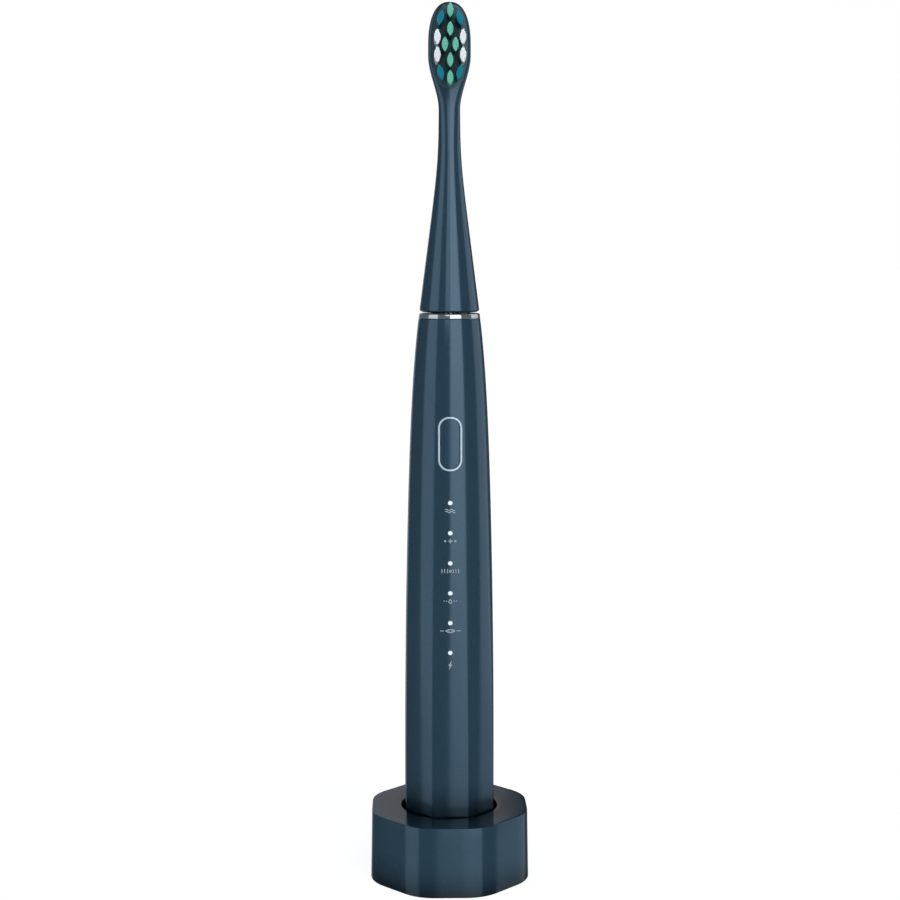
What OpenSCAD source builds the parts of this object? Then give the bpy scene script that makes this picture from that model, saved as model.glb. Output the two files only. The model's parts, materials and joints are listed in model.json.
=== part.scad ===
// Electric toothbrush standing in its octagonal charging stand.
// Z = 0 is the surface it stands on, the Z axis runs up through the shaft,
// and the button faces -Y. All sizes are in millimetres.

/* [Charging stand] */
// Width across the flats, at the foot
charger_width = 48; // [47:0.5:50]
// Height of the stand
charger_height = 21.1; // [20:0.1:23]
// Radius of the eight upright corners
charger_corner = 12.9; // [10:0.1:14]
// How far each side leans in from foot to top
charger_draft = 0.36; // [0.1:0.02:0.6]
// Wall of the shell
charger_wall = 1.8; // [1.4:0.1:2]
// Gap between the flats of the handle and its round well
well_gap = 1; // [0.9:0.05:1.1]
// Bore of the cable gland
gland_bore = 3.4; // [2.6:0.1:3.8]

/* [Handle] */
// Width of the handle across its flats, at the foot
handle_width = 27.14; // [26.8:0.02:27.4]
// Length of the handle, from its foot to the chrome ring
handle_length = 161; // [158:0.5:164]
// Radius of the eight corners at the foot, which swell into a circle higher up
handle_corner = 1.8; // [1.5:0.1:2.5]
// How round the eight sides are at the foot: 0 is flat and 1 is a circle
handle_bulge = 0.33; // [0.25:0.01:0.45]
// Wall of the handle
handle_wall = 1.55; // [1.4:0.05:1.6]
// How much the handle narrows along its length
handle_taper = 2.97; // [2.7:0.01:3.1]
// How much more it narrows at the shoulder, just below the ring
shoulder_taper = 1.38; // [1.2:0.01:1.5]

/* [Controls] */
// Width of the power button
button_width = 5.8; // [5:0.1:6]
// Height of the power button
button_height = 14.7; // [13:0.1:15]
// Height of the button's centre above the foot of the handle
button_rise = 124.6; // [124:0.1:125]
// How far the button travels when it is pressed
button_travel = 0.35; // [0.2:0.05:0.4]
// Width of the chrome line around the button
bezel_line = 0.55; // [0.4:0.05:0.7]
// Number of indicator lights
indicator_count = 6; // [1:1:6]
// Distance from one indicator light to the next
indicator_pitch = 8.95; // [8:0.05:9]
// Diameter of an indicator light
indicator_width = 1.35; // [1:0.05:1.6]

/* [Drive] */
// Diameter of the drive shaft
shaft_width = 4; // [3.6:0.1:4.2]
// How far the shaft stands out of the handle
shaft_reach = 25; // [22:0.5:26]
// Length of the motor
motor_length = 28; // [27.5:0.1:28]

/* [Brush head] */
// Length of the brush head, from its lower edge to its tip
head_length = 90; // [88:0.5:92]
// Width of the head's oval at its widest
head_width = 12.5; // [12:0.1:13.5]
// Width of the neck at its thinnest
neck_width = 6.4; // [6:0.1:6.8]
// Width of the head where it meets the handle
head_foot_width = 17.8; // [17:0.1:18.2]
// Length of the bristles
bristle_length = 10.8; // [8:0.2:12]

/* [Hidden] */
$fn = 64;
// Clearance of parts that are fitted together, and of parts that run in each other
fit = 0.05;
// Extra reach of a cutting shape past the face it cuts
past = 1;
corner_steps = 4;
facet_steps = 3;
flat_bulge = 0.01;

shell_colour = "#3d4a58";
trim_colour = "#d5d8db";
steel_colour = "#a9adb2";
copper_colour = "#b4683a";
board_colour = "#1f5c3c";
rubber_colour = "#26292d";
white_colour = "#e8e8e4";
ferrite_colour = "#3a3a3c";
chip_colour = "#1b1c1f";

foot_lift = 0.1;
well_floor_z = 9;
well_floor = 1.4;
well_r = handle_width / 2 + well_gap;
well_wall = 1.4;
deck = 2;
room_apothem = charger_width / 2 - charger_draft - charger_wall;
room_corner = charger_corner - charger_wall;
room_top_z = charger_height - deck;
cup_low_z = well_floor_z - well_floor;
plate_top_z = foot_lift + 1.8;
post_r = 3.6;
post_top_z = 15.5;
core_r = 2.4;
gland_z = 7.5;
gland_flange_r = 3.8;
gland_body_r = 2.75;
gland_collar_r = 3.5;
gland_collar_y = charger_width / 2 - 0.9;
gland_plate_width = 12;
screw_circle = 19.1;
screw_boss_r = 2.4;
screw_angles = [-90, 30, 150];
screw_r = 1.1;
screw_head_r = 2.2;

handle_foot_z = well_floor_z + fit;
handle_top_z = handle_foot_z + handle_length;
taper_start_z = handle_foot_z + 24;
round_start_z = handle_foot_z + 16;
round_end_z = handle_foot_z + 111;
cavity_top_z = handle_top_z - 3.5;
cap_low_z = handle_foot_z + 0.2;
sleeve_r = post_r + 0.7;
sleeve_wall = 1.1;
sleeve_top_z = post_top_z + 1;
seal_bore_r = 5;
spigot_r = 7.6;
ring_height = 1.5;
ring_top_z = handle_top_z + ring_height;

button_z = handle_foot_z + button_rise;
bezel_width = button_width + 2 * (bezel_line + 0.1);
bezel_height = button_height + 2 * (bezel_line + 0.1);
indicator_top_z = button_z - 17.4;
board_front_y = -7.4;
board_thickness = 1;
board_back_y = board_front_y + board_thickness;
board_half_width = 6;
board_low_z = indicator_top_z - 5 * indicator_pitch - 9;
board_high_z = button_z + 2.3;
switch_z = button_z - 3.2;
switch_height = 1.3;
switch_front_y = board_front_y - switch_height;
plunger_r = 0.9;
plunger_front_y = switch_front_y - button_travel - 0.3;
button_stem_y = plunger_front_y - fit;
guide_back_y = board_front_y - 0.8;
guide_front_y = guide_back_y - 0.9;

battery_r = 7;
battery_length = 50;
battery_y = 1.6;
battery_low_z = board_low_z - 2;
battery_high_z = battery_low_z + battery_length;
chassis_r = 9;
chassis_y = 0.8;
chassis_low_z = handle_foot_z + 11;

shaft_r = shaft_width / 2;
shaft_tail_r = 1.5;
motor_front_z = handle_top_z - 4.5;
motor_rear_z = motor_front_z - motor_length;
motor_r = 7.6;
motor_cap = 2;
can_wall = 0.6;
bearing_r = 3.2;
rotor_low_z = motor_front_z - 19;
rotor_high_z = motor_front_z - 7;
rotor_r = 4.6;
magnet_r = 5.6;
stator_r = motor_r - can_wall - fit;
bobbin_low_z = motor_rear_z + motor_cap + 0.6;
bobbin_high_z = rotor_low_z - 0.8;

head_foot_z = ring_top_z + 0.4;
head_tip_z = head_foot_z + head_length;
neck_end_z = head_tip_z - 31;
oval_start_z = head_tip_z - 15.3;
oval_end_z = head_tip_z - 12.8;
face_y = -2.2;
shaft_top_z = ring_top_z + shaft_reach;
flat_low_z = shaft_top_z - 13;
flat_y = -1.4;
socket_top_z = shaft_top_z + 1.2;
coupling_r = 3.7;
tuft_root_y = face_y + 1.3;

// Every part of the object, by name

// ---------------------------------------------------------------- shared shapes

function mix(a, b, t) = a + (b - a) * t;
function clamped(t) = max(0, min(1, t));
function smooth(t) = let (u = clamped(t)) u * u * (3 - 2 * u);

// One level of an octagon with a side facing -Y. Each side is an arc of radius apothem / bulge,
// and each corner an arc that runs smoothly into the sides beside it.
function octagon_ring(apothem, corner, bulge, z) =
    let (
        side_r = apothem / bulge,
        sweep = 22.5 - asin((side_r - apothem) * sin(22.5) / (side_r - corner)),
        reach = (side_r - corner) * sin(sweep) / sin(22.5)
    )
    [
        for (k = [0:7]) each concat(
            [
                for (s = [0:facet_steps])
                    let (turn = 45 * k + mix(-sweep, sweep, s / facet_steps))
                    [
                        (apothem - side_r) * cos(45 * k) + side_r * cos(turn),
                        (apothem - side_r) * sin(45 * k) + side_r * sin(turn),
                        z
                    ]
            ],
            [
                for (s = [1:corner_steps - 1])
                    let (turn = 45 * k + mix(sweep, 45 - sweep, s / corner_steps))
                    [
                        reach * cos(45 * k + 22.5) + corner * cos(turn),
                        reach * sin(45 * k + 22.5) + corner * sin(turn),
                        z
                    ]
            ]
        )
    ];

// A closed skin through a list of levels that have the same number of points
module loft(rings) {
    count = len(rings[0]);
    last = len(rings) - 1;
    sides = [
        for (level = [0:last - 1], i = [0:count - 1])
            let (a = level * count + i, b = level * count + (i + 1) % count)
            each [[a, a + count, b], [b, a + count, b + count]]
    ];
    floor_face = [for (i = [0:count - 1]) i];
    roof_face = [for (i = [count - 1:-1:0]) last * count + i];
    polyhedron(points = [for (ring = rings) each ring], faces = concat([floor_face], sides, [roof_face]));
}

// A flat octagon with round corners
module rounded_octagon(apothem, corner) {
    reach = (apothem - corner) / cos(22.5);
    polygon([
        for (k = [0:7], s = [0, 1])
            [
                reach * cos(45 * k + 22.5) + corner * cos(45 * (k + s)),
                reach * sin(45 * k + 22.5) + corner * sin(45 * (k + s))
            ]
    ]);
    for (k = [0:7]) rotate(45 * k + 22.5) translate([reach, 0]) circle(r = corner);
}

module octagon_block(apothem, corner, low_z, high_z) {
    translate([0, 0, low_z]) linear_extrude(high_z - low_z) rounded_octagon(apothem, corner);
}

module rod(r, low_z, high_z) {
    translate([0, 0, low_z]) cylinder(r = r, h = high_z - low_z);
}

module tube(outer_r, inner_r, low_z, high_z) {
    difference() {
        rod(outer_r, low_z, high_z);
        rod(inner_r, low_z - past, high_z + past);
    }
}

// A flanged spool for a winding
module spool(flange_r, tube_r, bore_r, low_z, high_z, flange) {
    difference() {
        union() {
            rod(tube_r, low_z, high_z);
            rod(flange_r, low_z, low_z + flange);
            rod(flange_r, high_z - flange, high_z);
        }
        rod(bore_r, low_z - past, high_z + past);
    }
}

// A box that spans x, y and z between its two corners
module span(low, high) {
    translate(low) cube(high - low);
}

// Extrudes a flat shape, drawn with X across and Y up, from one depth to a nearer one
module towards_front(back_y, front_y, z) {
    translate([0, back_y, z]) rotate([90, 0, 0]) linear_extrude(back_y - front_y) children();
}

module slot_outline(width, height) {
    square([width, height - width], center = true);
    for (side = [-1, 1]) translate([0, side * (height - width) / 2]) circle(d = width);
}

module front_rod(r, x, z, back_y, front_y) {
    towards_front(back_y, front_y, z) translate([x, 0]) circle(r = r);
}

// ---------------------------------------------------------------- charging stand

module charger_outer() {
    foot = charger_width / 2;
    top = foot - charger_draft;
    edge = 0.22;
    loft([
        octagon_ring(foot - edge, charger_corner - edge, flat_bulge, foot_lift),
        octagon_ring(foot, charger_corner, flat_bulge, foot_lift + edge),
        octagon_ring(top, charger_corner, flat_bulge, charger_height - edge),
        octagon_ring(top - edge * 0.3, charger_corner, flat_bulge, charger_height - edge * 0.3),
        octagon_ring(top - edge, charger_corner, flat_bulge, charger_height)
    ]);
}

module at_charger_screws() {
    for (angle = screw_angles) rotate(angle) translate([screw_circle, 0, 0]) children();
}

module stand_wall() {
    difference() {
        charger_outer();
        octagon_block(room_apothem, room_corner, foot_lift - past, charger_height + past);
        octagon_block(charger_width, 1, room_top_z, charger_height + past);
    }
}

module gland_plate_space() {
    span([-gland_plate_width / 2, 0, -past], [gland_plate_width / 2, charger_width, charger_height + past]);
}

// The skirt of the stand: one wall round the room below the deck, with a gap for the gland plate
module charger_skirt() {
    color(shell_colour)
    difference() {
        stand_wall();
        gland_plate_space();
    }
}

// The piece of wall that fills the gap and holds the gland
module gland_plate() {
    color(shell_colour)
    difference() {
        intersection() {
            stand_wall();
            gland_plate_space();
        }
        front_rod(gland_body_r + fit, 0, gland_z, charger_width / 2 + past, room_apothem - past);
        front_rod(gland_collar_r + fit, 0, gland_z, charger_width / 2 + past, gland_collar_y);
    }
}

// The deck: the top of the stand, with the mouth of the well and bosses for the screws
module charger_deck() {
    color(shell_colour)
    difference() {
        union() {
            intersection() {
                charger_outer();
                octagon_block(charger_width, 1, room_top_z, charger_height + past);
            }
            at_charger_screws() rod(screw_boss_r, plate_top_z + fit, room_top_z + 1);
        }
        rod(well_r, room_top_z - past, charger_height + past);
        at_charger_screws() rod(screw_r + fit, plate_top_z - past, plate_top_z + 8);
    }
}

// The round wall of the well, bonded under the deck
module well_wall_tube() {
    color(shell_colour) tube(well_r + well_wall, well_r, well_floor_z, room_top_z);
}

// The floor of the well, with the hollow post that reaches up into the handle
module well_floor_post() {
    color(shell_colour)
    difference() {
        union() {
            rod(well_r + well_wall, cup_low_z, well_floor_z);
            rod(post_r, cup_low_z, post_top_z);
        }
        rod(core_r + fit, cup_low_z - past, post_top_z - 1);
    }
}

module charger_base_plate() {
    rib_z = plate_top_z + 0.5;
    color(shell_colour)
    difference() {
        union() {
            octagon_block(room_apothem - 0.1, room_corner, foot_lift, plate_top_z);
            for (x = [-8, 8], y = [-8, 8]) translate([x, y, 0]) rod(1.2, foot_lift, rib_z);
        }
        at_charger_screws() rod(screw_head_r + 0.2, foot_lift - past, foot_lift + 1);
        at_charger_screws() rod(screw_r + 0.15, foot_lift - past, plate_top_z + past);
        at_charger_feet() rod(3.05, foot_lift - past, foot_lift + 0.6);
    }
}

module at_charger_feet() {
    for (angle = screw_angles) rotate(angle + 180) translate([17, 0, 0]) children();
}

module charger_feet() {
    color(rubber_colour) at_charger_feet() rod(3, 0, foot_lift + 0.55);
}

module charger_screws() {
    color(steel_colour)
    at_charger_screws() {
        difference() {
            rod(screw_head_r, foot_lift + 0.2, foot_lift + 1);
            span([-1.4, -0.25, 0], [1.4, 0.25, foot_lift + 0.6]);
            span([-0.25, -1.4, 0], [0.25, 1.4, foot_lift + 0.6]);
        }
        rod(screw_r, foot_lift + 1, plate_top_z + 7);
    }
}

module cable_gland() {
    out_y = charger_width / 2;
    color(rubber_colour)
    difference() {
        union() {
            front_rod(gland_collar_r, 0, gland_z, out_y, gland_collar_y + 0.01);
            front_rod(gland_body_r, 0, gland_z, out_y, room_apothem - past);
            front_rod(gland_flange_r, 0, gland_z, room_apothem - fit, room_apothem - past);
        }
        front_rod(gland_bore / 2, 0, gland_z, out_y + past, room_apothem - 2 * past);
    }
}

module charger_board() {
    low_z = plate_top_z + 0.5 + fit;
    color(board_colour)
    union() {
        rod(13, low_z, low_z + 1);
        span([-8, 0, low_z], [8, room_apothem - 1.3, low_z + 1]);
    }
}

module charger_board_parts() {
    base_z = plate_top_z + 1.6;
    back_y = well_r + well_wall + 2.8;
    color(chip_colour) {
        translate([-6.5, back_y, 0]) rod(2.2, base_z, base_z + 9);
        span([4, back_y - 1.9, base_z], [8, back_y + 1.5, base_z + 7.5]);
        for (angle = [0, 55, 125, 180, 235, 305])
            rotate(angle) span([9.6, -1.3, base_z], [11.6, 1.3, base_z + 1.4]);
    }
}

module transmitter_core() {
    color(ferrite_colour) rod(core_r, plate_top_z + 1.7, post_top_z - 1.2);
}

module coil_former() {
    color(white_colour) spool(9, 3.2, core_r + fit, plate_top_z + 1.7, cup_low_z - fit, 0.7);
}

module transmitter_coil() {
    color(copper_colour) tube(8.6, 3.25, plate_top_z + 2.45, cup_low_z - 0.8);
}

// ---------------------------------------------------------------- handle

// Half the handle's width across its flats at a height
function handle_radius(z) =
    let (t = clamped((z - taper_start_z) / (handle_top_z - taper_start_z)))
    handle_width / 2 - handle_taper * pow(t, 2) - shoulder_taper * pow(t, 8);

// The section grows from an octagon with crisp corners at the foot to almost a circle
function roundness(z) = smooth((z - round_start_z) / (round_end_z - round_start_z));

function handle_level(z, inset) = octagon_ring(
    handle_radius(z) - inset,
    mix(handle_corner, 0.9 * handle_radius(z), roundness(z)) - inset,
    mix(handle_bulge, 0.95, roundness(z)),
    z
);

// A solid of revolution that follows the handle's side at an offset between two heights
module handle_core(offset_r, low_z, high_z, steps) {
    rotate_extrude()
    polygon(concat(
        [[0, low_z]],
        [for (i = [0:steps]) let (z = mix(low_z, high_z, i / steps)) [handle_radius(z) + offset_r, z]],
        [[0, high_z]]
    ));
}

module handle_outer() {
    edge = 1.2;
    steps = 26;
    loft(concat(
        [handle_level(handle_foot_z, edge)],
        [handle_level(handle_foot_z + 0.35 * edge, 0.3 * edge)],
        [for (i = [0:steps]) handle_level(mix(handle_foot_z + edge, handle_top_z, i / steps), 0)]
    ));
}

module handle_housing() {
    color(shell_colour)
    difference() {
        union() {
            handle_outer();
            rod(spigot_r, handle_top_z - past, ring_top_z - 0.25);
        }
        handle_core(-handle_wall, handle_foot_z - past, cavity_top_z, 12);
        rod(seal_bore_r, cavity_top_z - past, ring_top_z + past);
        towards_front(-handle_width / 4, -handle_width, button_z)
            slot_outline(bezel_width + 2 * fit, bezel_height + 2 * fit);
        at_indicators() front_rod(indicator_width / 2, 0, 0, -handle_width / 4, -handle_width);
    }
}

module at_indicators() {
    for (i = [0:indicator_count - 1]) translate([0, 0, indicator_top_z - i * indicator_pitch]) children();
}

// The cap that closes the foot, with a collar up inside the wall and a groove for its seal
module bottom_cap() {
    rim_r = handle_width / 2 - handle_wall - fit;
    color(shell_colour)
    difference() {
        union() {
            rod(rim_r, cap_low_z, cap_low_z + 1.6);
            tube(rim_r, rim_r - 1.4, cap_low_z, cap_low_z + 5.4);
        }
        rod(sleeve_r + sleeve_wall, cap_low_z - past, cap_low_z + 2);
        tube(rim_r + past, rim_r - 0.8, cap_low_z + 2.6, cap_low_z + 4);
    }
}

// The sleeve in the cap that drops over the post of the stand, and the disc that closes it
module post_sleeve() {
    color(shell_colour) tube(sleeve_r + sleeve_wall, sleeve_r, cap_low_z, sleeve_top_z);
}

module sleeve_lid() {
    color(shell_colour) rod(sleeve_r + sleeve_wall, sleeve_top_z, sleeve_top_z + 1);
}

module cap_seal() {
    rim_r = handle_width / 2 - handle_wall - fit;
    middle_z = cap_low_z + 3.3;
    color(rubber_colour)
    rotate_extrude() translate([rim_r - 0.4, middle_z]) circle(r = 0.39, $fn = 32);
}

module receiver_bobbin() {
    low_z = handle_foot_z + 2.1;
    color(white_colour) spool(9.6, 6, post_r + 1.85, low_z, low_z + 5.6, 0.7);
}

module receiver_coil() {
    low_z = handle_foot_z + 2.1;
    color(copper_colour) tube(9, 6.05, low_z + 0.75, low_z + 4.85);
}

module trim_ring() {
    foot_r = handle_radius(handle_top_z) - 0.03;
    color(trim_colour)
    rotate_extrude()
    polygon([
        [spigot_r + fit, handle_top_z + 0.03],
        [foot_r - 0.15, handle_top_z + 0.03],
        [foot_r, handle_top_z + 0.18],
        [foot_r - 0.15, ring_top_z - 0.25],
        [foot_r - 0.4, ring_top_z],
        [spigot_r + fit, ring_top_z]
    ]);
}

module shaft_seal() {
    color(rubber_colour)
    rotate_extrude()
    polygon([
        [shaft_r + 0.06, cavity_top_z + 1.6],
        [seal_bore_r - fit, cavity_top_z + 1.6],
        [seal_bore_r - fit, ring_top_z - 0.4],
        [seal_bore_r - 1, ring_top_z - 0.2],
        [shaft_r + 0.8, ring_top_z - 0.9],
        [shaft_r + 0.06, ring_top_z - 0.5]
    ]);
}

module button_bezel() {
    color(trim_colour)
    intersection() {
        towards_front(-handle_radius(button_z) + 1.3, -handle_width, button_z)
        difference() {
            slot_outline(bezel_width, bezel_height);
            slot_outline(button_width + 0.2, button_height + 0.2);
        }
        handle_core(0.12, button_z - bezel_height, button_z + bezel_height, 6);
    }
}

module button_seal() {
    back_y = button_stem_y - 0.85;
    color(rubber_colour)
    towards_front(back_y, -handle_radius(button_z) + 1.35, button_z)
    difference() {
        slot_outline(bezel_width - 0.1, bezel_height - 0.1);
        slot_outline(button_width + 0.2, button_height + 0.2);
    }
}

module power_button() {
    flange_front_y = button_stem_y - 0.8;
    color(shell_colour)
    union() {
        intersection() {
            towards_front(flange_front_y + 0.1, -handle_width, button_z)
                slot_outline(button_width, button_height);
            handle_core(0.02, button_z - button_height, button_z + button_height, 6);
        }
        towards_front(flange_front_y + 0.6, flange_front_y, button_z)
            slot_outline(button_width + 0.9, button_height + 0.9);
        front_rod(1.2, 0, switch_z, button_stem_y, flange_front_y);
    }
}

module switch_plunger() {
    color(white_colour) front_rod(plunger_r, 0, switch_z, board_front_y - 0.85, plunger_front_y);
}

module tact_switch_body() {
    color(chip_colour)
    difference() {
        span([-2.3, switch_front_y, switch_z - 1.8], [2.3, board_front_y - 0.01, switch_z + 1.8]);
        front_rod(plunger_r + fit, 0, switch_z, board_front_y - 0.4, switch_front_y - past);
    }
}

module light_guide() {
    strip_low_z = indicator_top_z - (indicator_count - 1) * indicator_pitch - 2.5;
    color(white_colour)
    union() {
        span([-1.6, guide_front_y, strip_low_z], [1.6, guide_back_y, indicator_top_z + 2.5]);
        for (i = [0:indicator_count - 1]) {
            z = indicator_top_z - i * indicator_pitch;
            front_rod(indicator_width / 2 - 0.02, 0, z, guide_front_y + 0.2, -handle_radius(z) + 0.04);
        }
    }
}

module indicator_leds() {
    color("#e9e2b0")
    at_indicators() span([-0.8, guide_back_y + fit, -0.4], [0.8, board_front_y - 0.01, 0.4]);
}

module circuit_board() {
    color(board_colour)
    difference() {
        span([-board_half_width, board_front_y, board_low_z], [board_half_width, board_back_y, board_high_z]);
        at_board_screws() front_rod(0.9, 0, 0, board_back_y + past, board_front_y - past);
    }
}

// One screw low on the left, one high on the right
module at_board_screws() {
    translate([-4.3, 0, board_low_z + 2.8]) children();
    translate([4.3, 0, board_high_z - 11.5]) children();
}

module board_screws() {
    color(steel_colour)
    at_board_screws() {
        front_rod(0.75, 0, 0, board_back_y + 1.7, board_front_y - 0.1);
        difference() {
            front_rod(1.3, 0, 0, board_front_y - 0.02, board_front_y - 0.8);
            span([-0.8, board_front_y - past, -0.15], [0.8, board_front_y - 0.5, 0.15]);
            span([-0.15, board_front_y - past, -0.8], [0.15, board_front_y - 0.5, 0.8]);
        }
    }
}

// Chips beside the light guide: a controller, a charger chip and small parts
module board_chips() {
    color(chip_colour) {
        chip([-4.1, board_low_z + 26], [3.4, 5], 0.9);
        chip([4.1, board_low_z + 31], [3, 3], 0.8);
        chip([-4, board_low_z + 44], [2.6, 3.4], 1);
        for (i = [0:5]) chip([4.2, board_low_z + 8 + 3 * i], [1.2, 0.7], 0.5);
    }
}

module chip(centre, size, height) {
    half = size / 2;
    span(
        [centre.x - half.x, board_front_y - height, centre.y - half.y],
        [centre.x + half.x, board_front_y - 0.01, centre.y + half.y]
    );
}

// The frame that carries board, battery and motor
module chassis() {
    front_y = board_back_y + fit;
    high_z = motor_rear_z - 0.3;
    color("#c9ccd0")
    difference() {
        union() {
            translate([0, chassis_y, 0]) rod(chassis_r, chassis_low_z, board_high_z - 2);
            rod(motor_r - 0.2, board_high_z - 2.5, high_z);
            rod(10.4, chassis_low_z, chassis_low_z + 1.6);
        }
        span([-12, -12, chassis_low_z + 1.6], [12, front_y, board_high_z + fit]);
        translate([0, battery_y, 0]) rod(battery_r + 0.1, battery_low_z - 0.8, battery_high_z + 0.8);
        translate([0, battery_y, 0]) rod(battery_r - 1, chassis_low_z + 1.6, battery_low_z - 2);
        translate([0, battery_y, 0]) rod(battery_r - 1, battery_high_z + 2, board_high_z - 4);
        span([-3, -12, board_low_z + 7], [3, 0, battery_high_z - 6]);
        span([-2.4, 2, chassis_low_z - past], [2.4, 12, battery_low_z - 8]);
        span([-3.6, -12, chassis_low_z - past], [3.6, -4.4, chassis_low_z + 2]);
        rod(2.4, board_high_z - 6, high_z + past);
        at_board_screws() front_rod(0.8, 0, 0, front_y + 2.2, front_y - past);
    }
}

module battery_cell() {
    color("#3f7f6a")
    translate([0, battery_y, 0])
    union() {
        rod(battery_r, battery_low_z, battery_high_z - 0.4);
        rod(2.8, battery_high_z - past, battery_high_z);
    }
}

// Nickel strips welded to the two ends of the cell
module battery_tabs() {
    color(steel_colour) {
        span([-1.6, battery_y - 5, battery_low_z - 0.3], [1.6, battery_y + 3, battery_low_z - 0.02]);
        span([-1.6, battery_y - 5, battery_high_z + 0.02], [1.6, battery_y + 3, battery_high_z + 0.3]);
    }
}

// Two leads from the charging coil up to the board
module wiring() {
    lead_y = (board_front_y + board_back_y) / 2;
    color("#8b2f2a")
    for (side = [-1, 1])
        translate([side * 2.2, lead_y, 0]) rod(0.4, handle_foot_z + 8, board_low_z - 0.02);
}

// ---------------------------------------------------------------- motor

module motor_can() {
    color(steel_colour)
    tube(motor_r, motor_r - can_wall, motor_rear_z + motor_cap, motor_front_z - motor_cap);
}

module motor_front_cap() {
    color(steel_colour)
    difference() {
        union() {
            rod(motor_r, motor_front_z - motor_cap, motor_front_z);
            rod(bearing_r + 0.9, motor_front_z - motor_cap, motor_front_z + 1.4);
        }
        rod(bearing_r + 0.02, motor_front_z - motor_cap - past, motor_front_z + 2 * past);
    }
}

module motor_rear_cap() {
    color(steel_colour)
    difference() {
        rod(motor_r, motor_rear_z, motor_rear_z + motor_cap);
        rod(bearing_r + 0.02, motor_rear_z - past, motor_rear_z + motor_cap + past);
    }
}

module front_bearing() {
    color("#b08d4f") tube(bearing_r, shaft_r + fit, motor_front_z - motor_cap, motor_front_z + 1.4);
}

module rear_bearing() {
    color("#b08d4f") tube(bearing_r, shaft_tail_r + fit, motor_rear_z, motor_rear_z + motor_cap);
}

module stator_yoke() {
    color("#6e7277")
    difference() {
        tube(stator_r, magnet_r + 0.35, rotor_low_z - 0.5, rotor_high_z + 0.5);
        for (angle = [0:90:270])
            rotate(angle + 45) span([4, -0.8, rotor_low_z + 1], [stator_r - 0.5, 0.8, rotor_high_z + past]);
    }
}

module coil_bobbin() {
    color(white_colour) spool(stator_r - 0.1, 3.2, shaft_r + 0.5, bobbin_low_z, bobbin_high_z, 0.7);
}

module motor_coil() {
    color(copper_colour) tube(stator_r - 0.5, 3.25, bobbin_low_z + 0.75, bobbin_high_z - 0.75);
}

module motor_damper() {
    low_z = motor_rear_z + 5.5;
    color(rubber_colour) tube(9.3, motor_r + 0.02, low_z, low_z + 3);
}

// The shaft swings about its own axis, with a flat that turns the brush head
module drive_shaft() {
    color(trim_colour)
    difference() {
        union() {
            rod(shaft_tail_r, motor_rear_z - 0.1, motor_rear_z + motor_cap + 1.2);
            rod(shaft_r, motor_rear_z + motor_cap + 0.4, shaft_top_z - 0.6);
            translate([0, 0, shaft_top_z - 0.6]) cylinder(r1 = shaft_r, r2 = shaft_r - 0.6, h = 0.6);
        }
        span([-shaft_width, -shaft_width, flat_low_z], [shaft_width, flat_y, shaft_top_z + past]);
        clip_notch(0);
    }
}

// The notch in the back of the shaft that the head's clip drops into
module clip_notch(clearance) {
    span(
        [-shaft_width, shaft_r - 0.45 - clearance, shaft_top_z - 7],
        [shaft_width, shaft_width, shaft_top_z - 4.6]
    );
}

module rotor_core() {
    color("#6e7277") tube(rotor_r, shaft_r + 0.01, rotor_low_z, rotor_high_z);
}

module rotor_magnets() {
    color(ferrite_colour)
    difference() {
        tube(magnet_r, rotor_r + 0.01, rotor_low_z, rotor_high_z);
        for (angle = [0, 90])
            rotate(angle) span([-magnet_r - past, -0.4, 0], [magnet_r + past, 0.4, rotor_high_z + past]);
    }
}

// ---------------------------------------------------------------- brush head

// Half width of the head at a height: a waisted neck, then an oval
function neck_radius(z) =
    let (bend = 4.47, start_z = head_foot_z + 45.2)
    neck_width / 2 - 0.055 + 0.129 * bend * ln(1 + exp((start_z - z) / bend));

function tip_round(z) =
    let (u = clamped((z - oval_end_z) / (head_tip_z - oval_end_z)))
    pow(max(0, 1 - pow(u, 2.42)), 1 / 2.42);

function oval_share(z) = smooth((z - neck_end_z) / (oval_start_z - neck_end_z));

function head_half_width(z) = mix(neck_radius(z), head_width / 2, oval_share(z)) * tip_round(z);

function head_front(z) = mix(neck_radius(z), -face_y, smooth((z - neck_end_z + 12) / 16)) * pow(tip_round(z), 0.3);

function head_back(z) = mix(neck_radius(z), 2.7, oval_share(z)) * pow(tip_round(z), 0.6);

// One level of the head: round behind, and squarer towards the flat face
function head_level(z) = [
    for (i = [0:47])
        let (
            turn = 7.5 * i,
            power = mix(1, 0.7, oval_share(z)),
            across = sign(cos(turn)) * pow(abs(cos(turn)), power),
            along = sign(sin(turn)) * pow(abs(sin(turn)), power)
        )
        [head_half_width(z) * across, (along > 0 ? head_back(z) : head_front(z)) * along, z]
];

function foot_level(r, z) = [for (i = [0:47]) [r * cos(7.5 * i), r * sin(7.5 * i), z]];

module head_outer() {
    chamfer = 0.6;
    tip_steps = 12;
    loft(concat(
        [foot_level(head_foot_width / 2 - 0.8, head_foot_z)],
        [for (i = [0:19]) head_level(mix(head_foot_z + chamfer, neck_end_z, i / 19))],
        [for (i = [1:7]) head_level(mix(neck_end_z, oval_end_z, i / 7))],
        [for (i = [1:tip_steps]) head_level(mix(oval_end_z, head_tip_z, sin(88.5 * i / tip_steps)))]
    ));
}

module brush_head_shell() {
    wall = 1.3;
    color(shell_colour)
    difference() {
        head_outer();
        rotate_extrude()
        polygon(concat(
            [[0, head_foot_z - past], [neck_radius(head_foot_z) - wall, head_foot_z - past]],
            [
                for (i = [0:6])
                    let (z = mix(head_foot_z, socket_top_z + 1.6, i / 6))
                    [neck_radius(z) - wall, z]
            ],
            [[0, socket_top_z + 1.6]]
        ));
        tufts(mint_tufts(), fit, 0);
        tufts(white_tufts(), fit, 0);
        tufts(blue_tufts(), fit, 0);
    }
}

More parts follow.
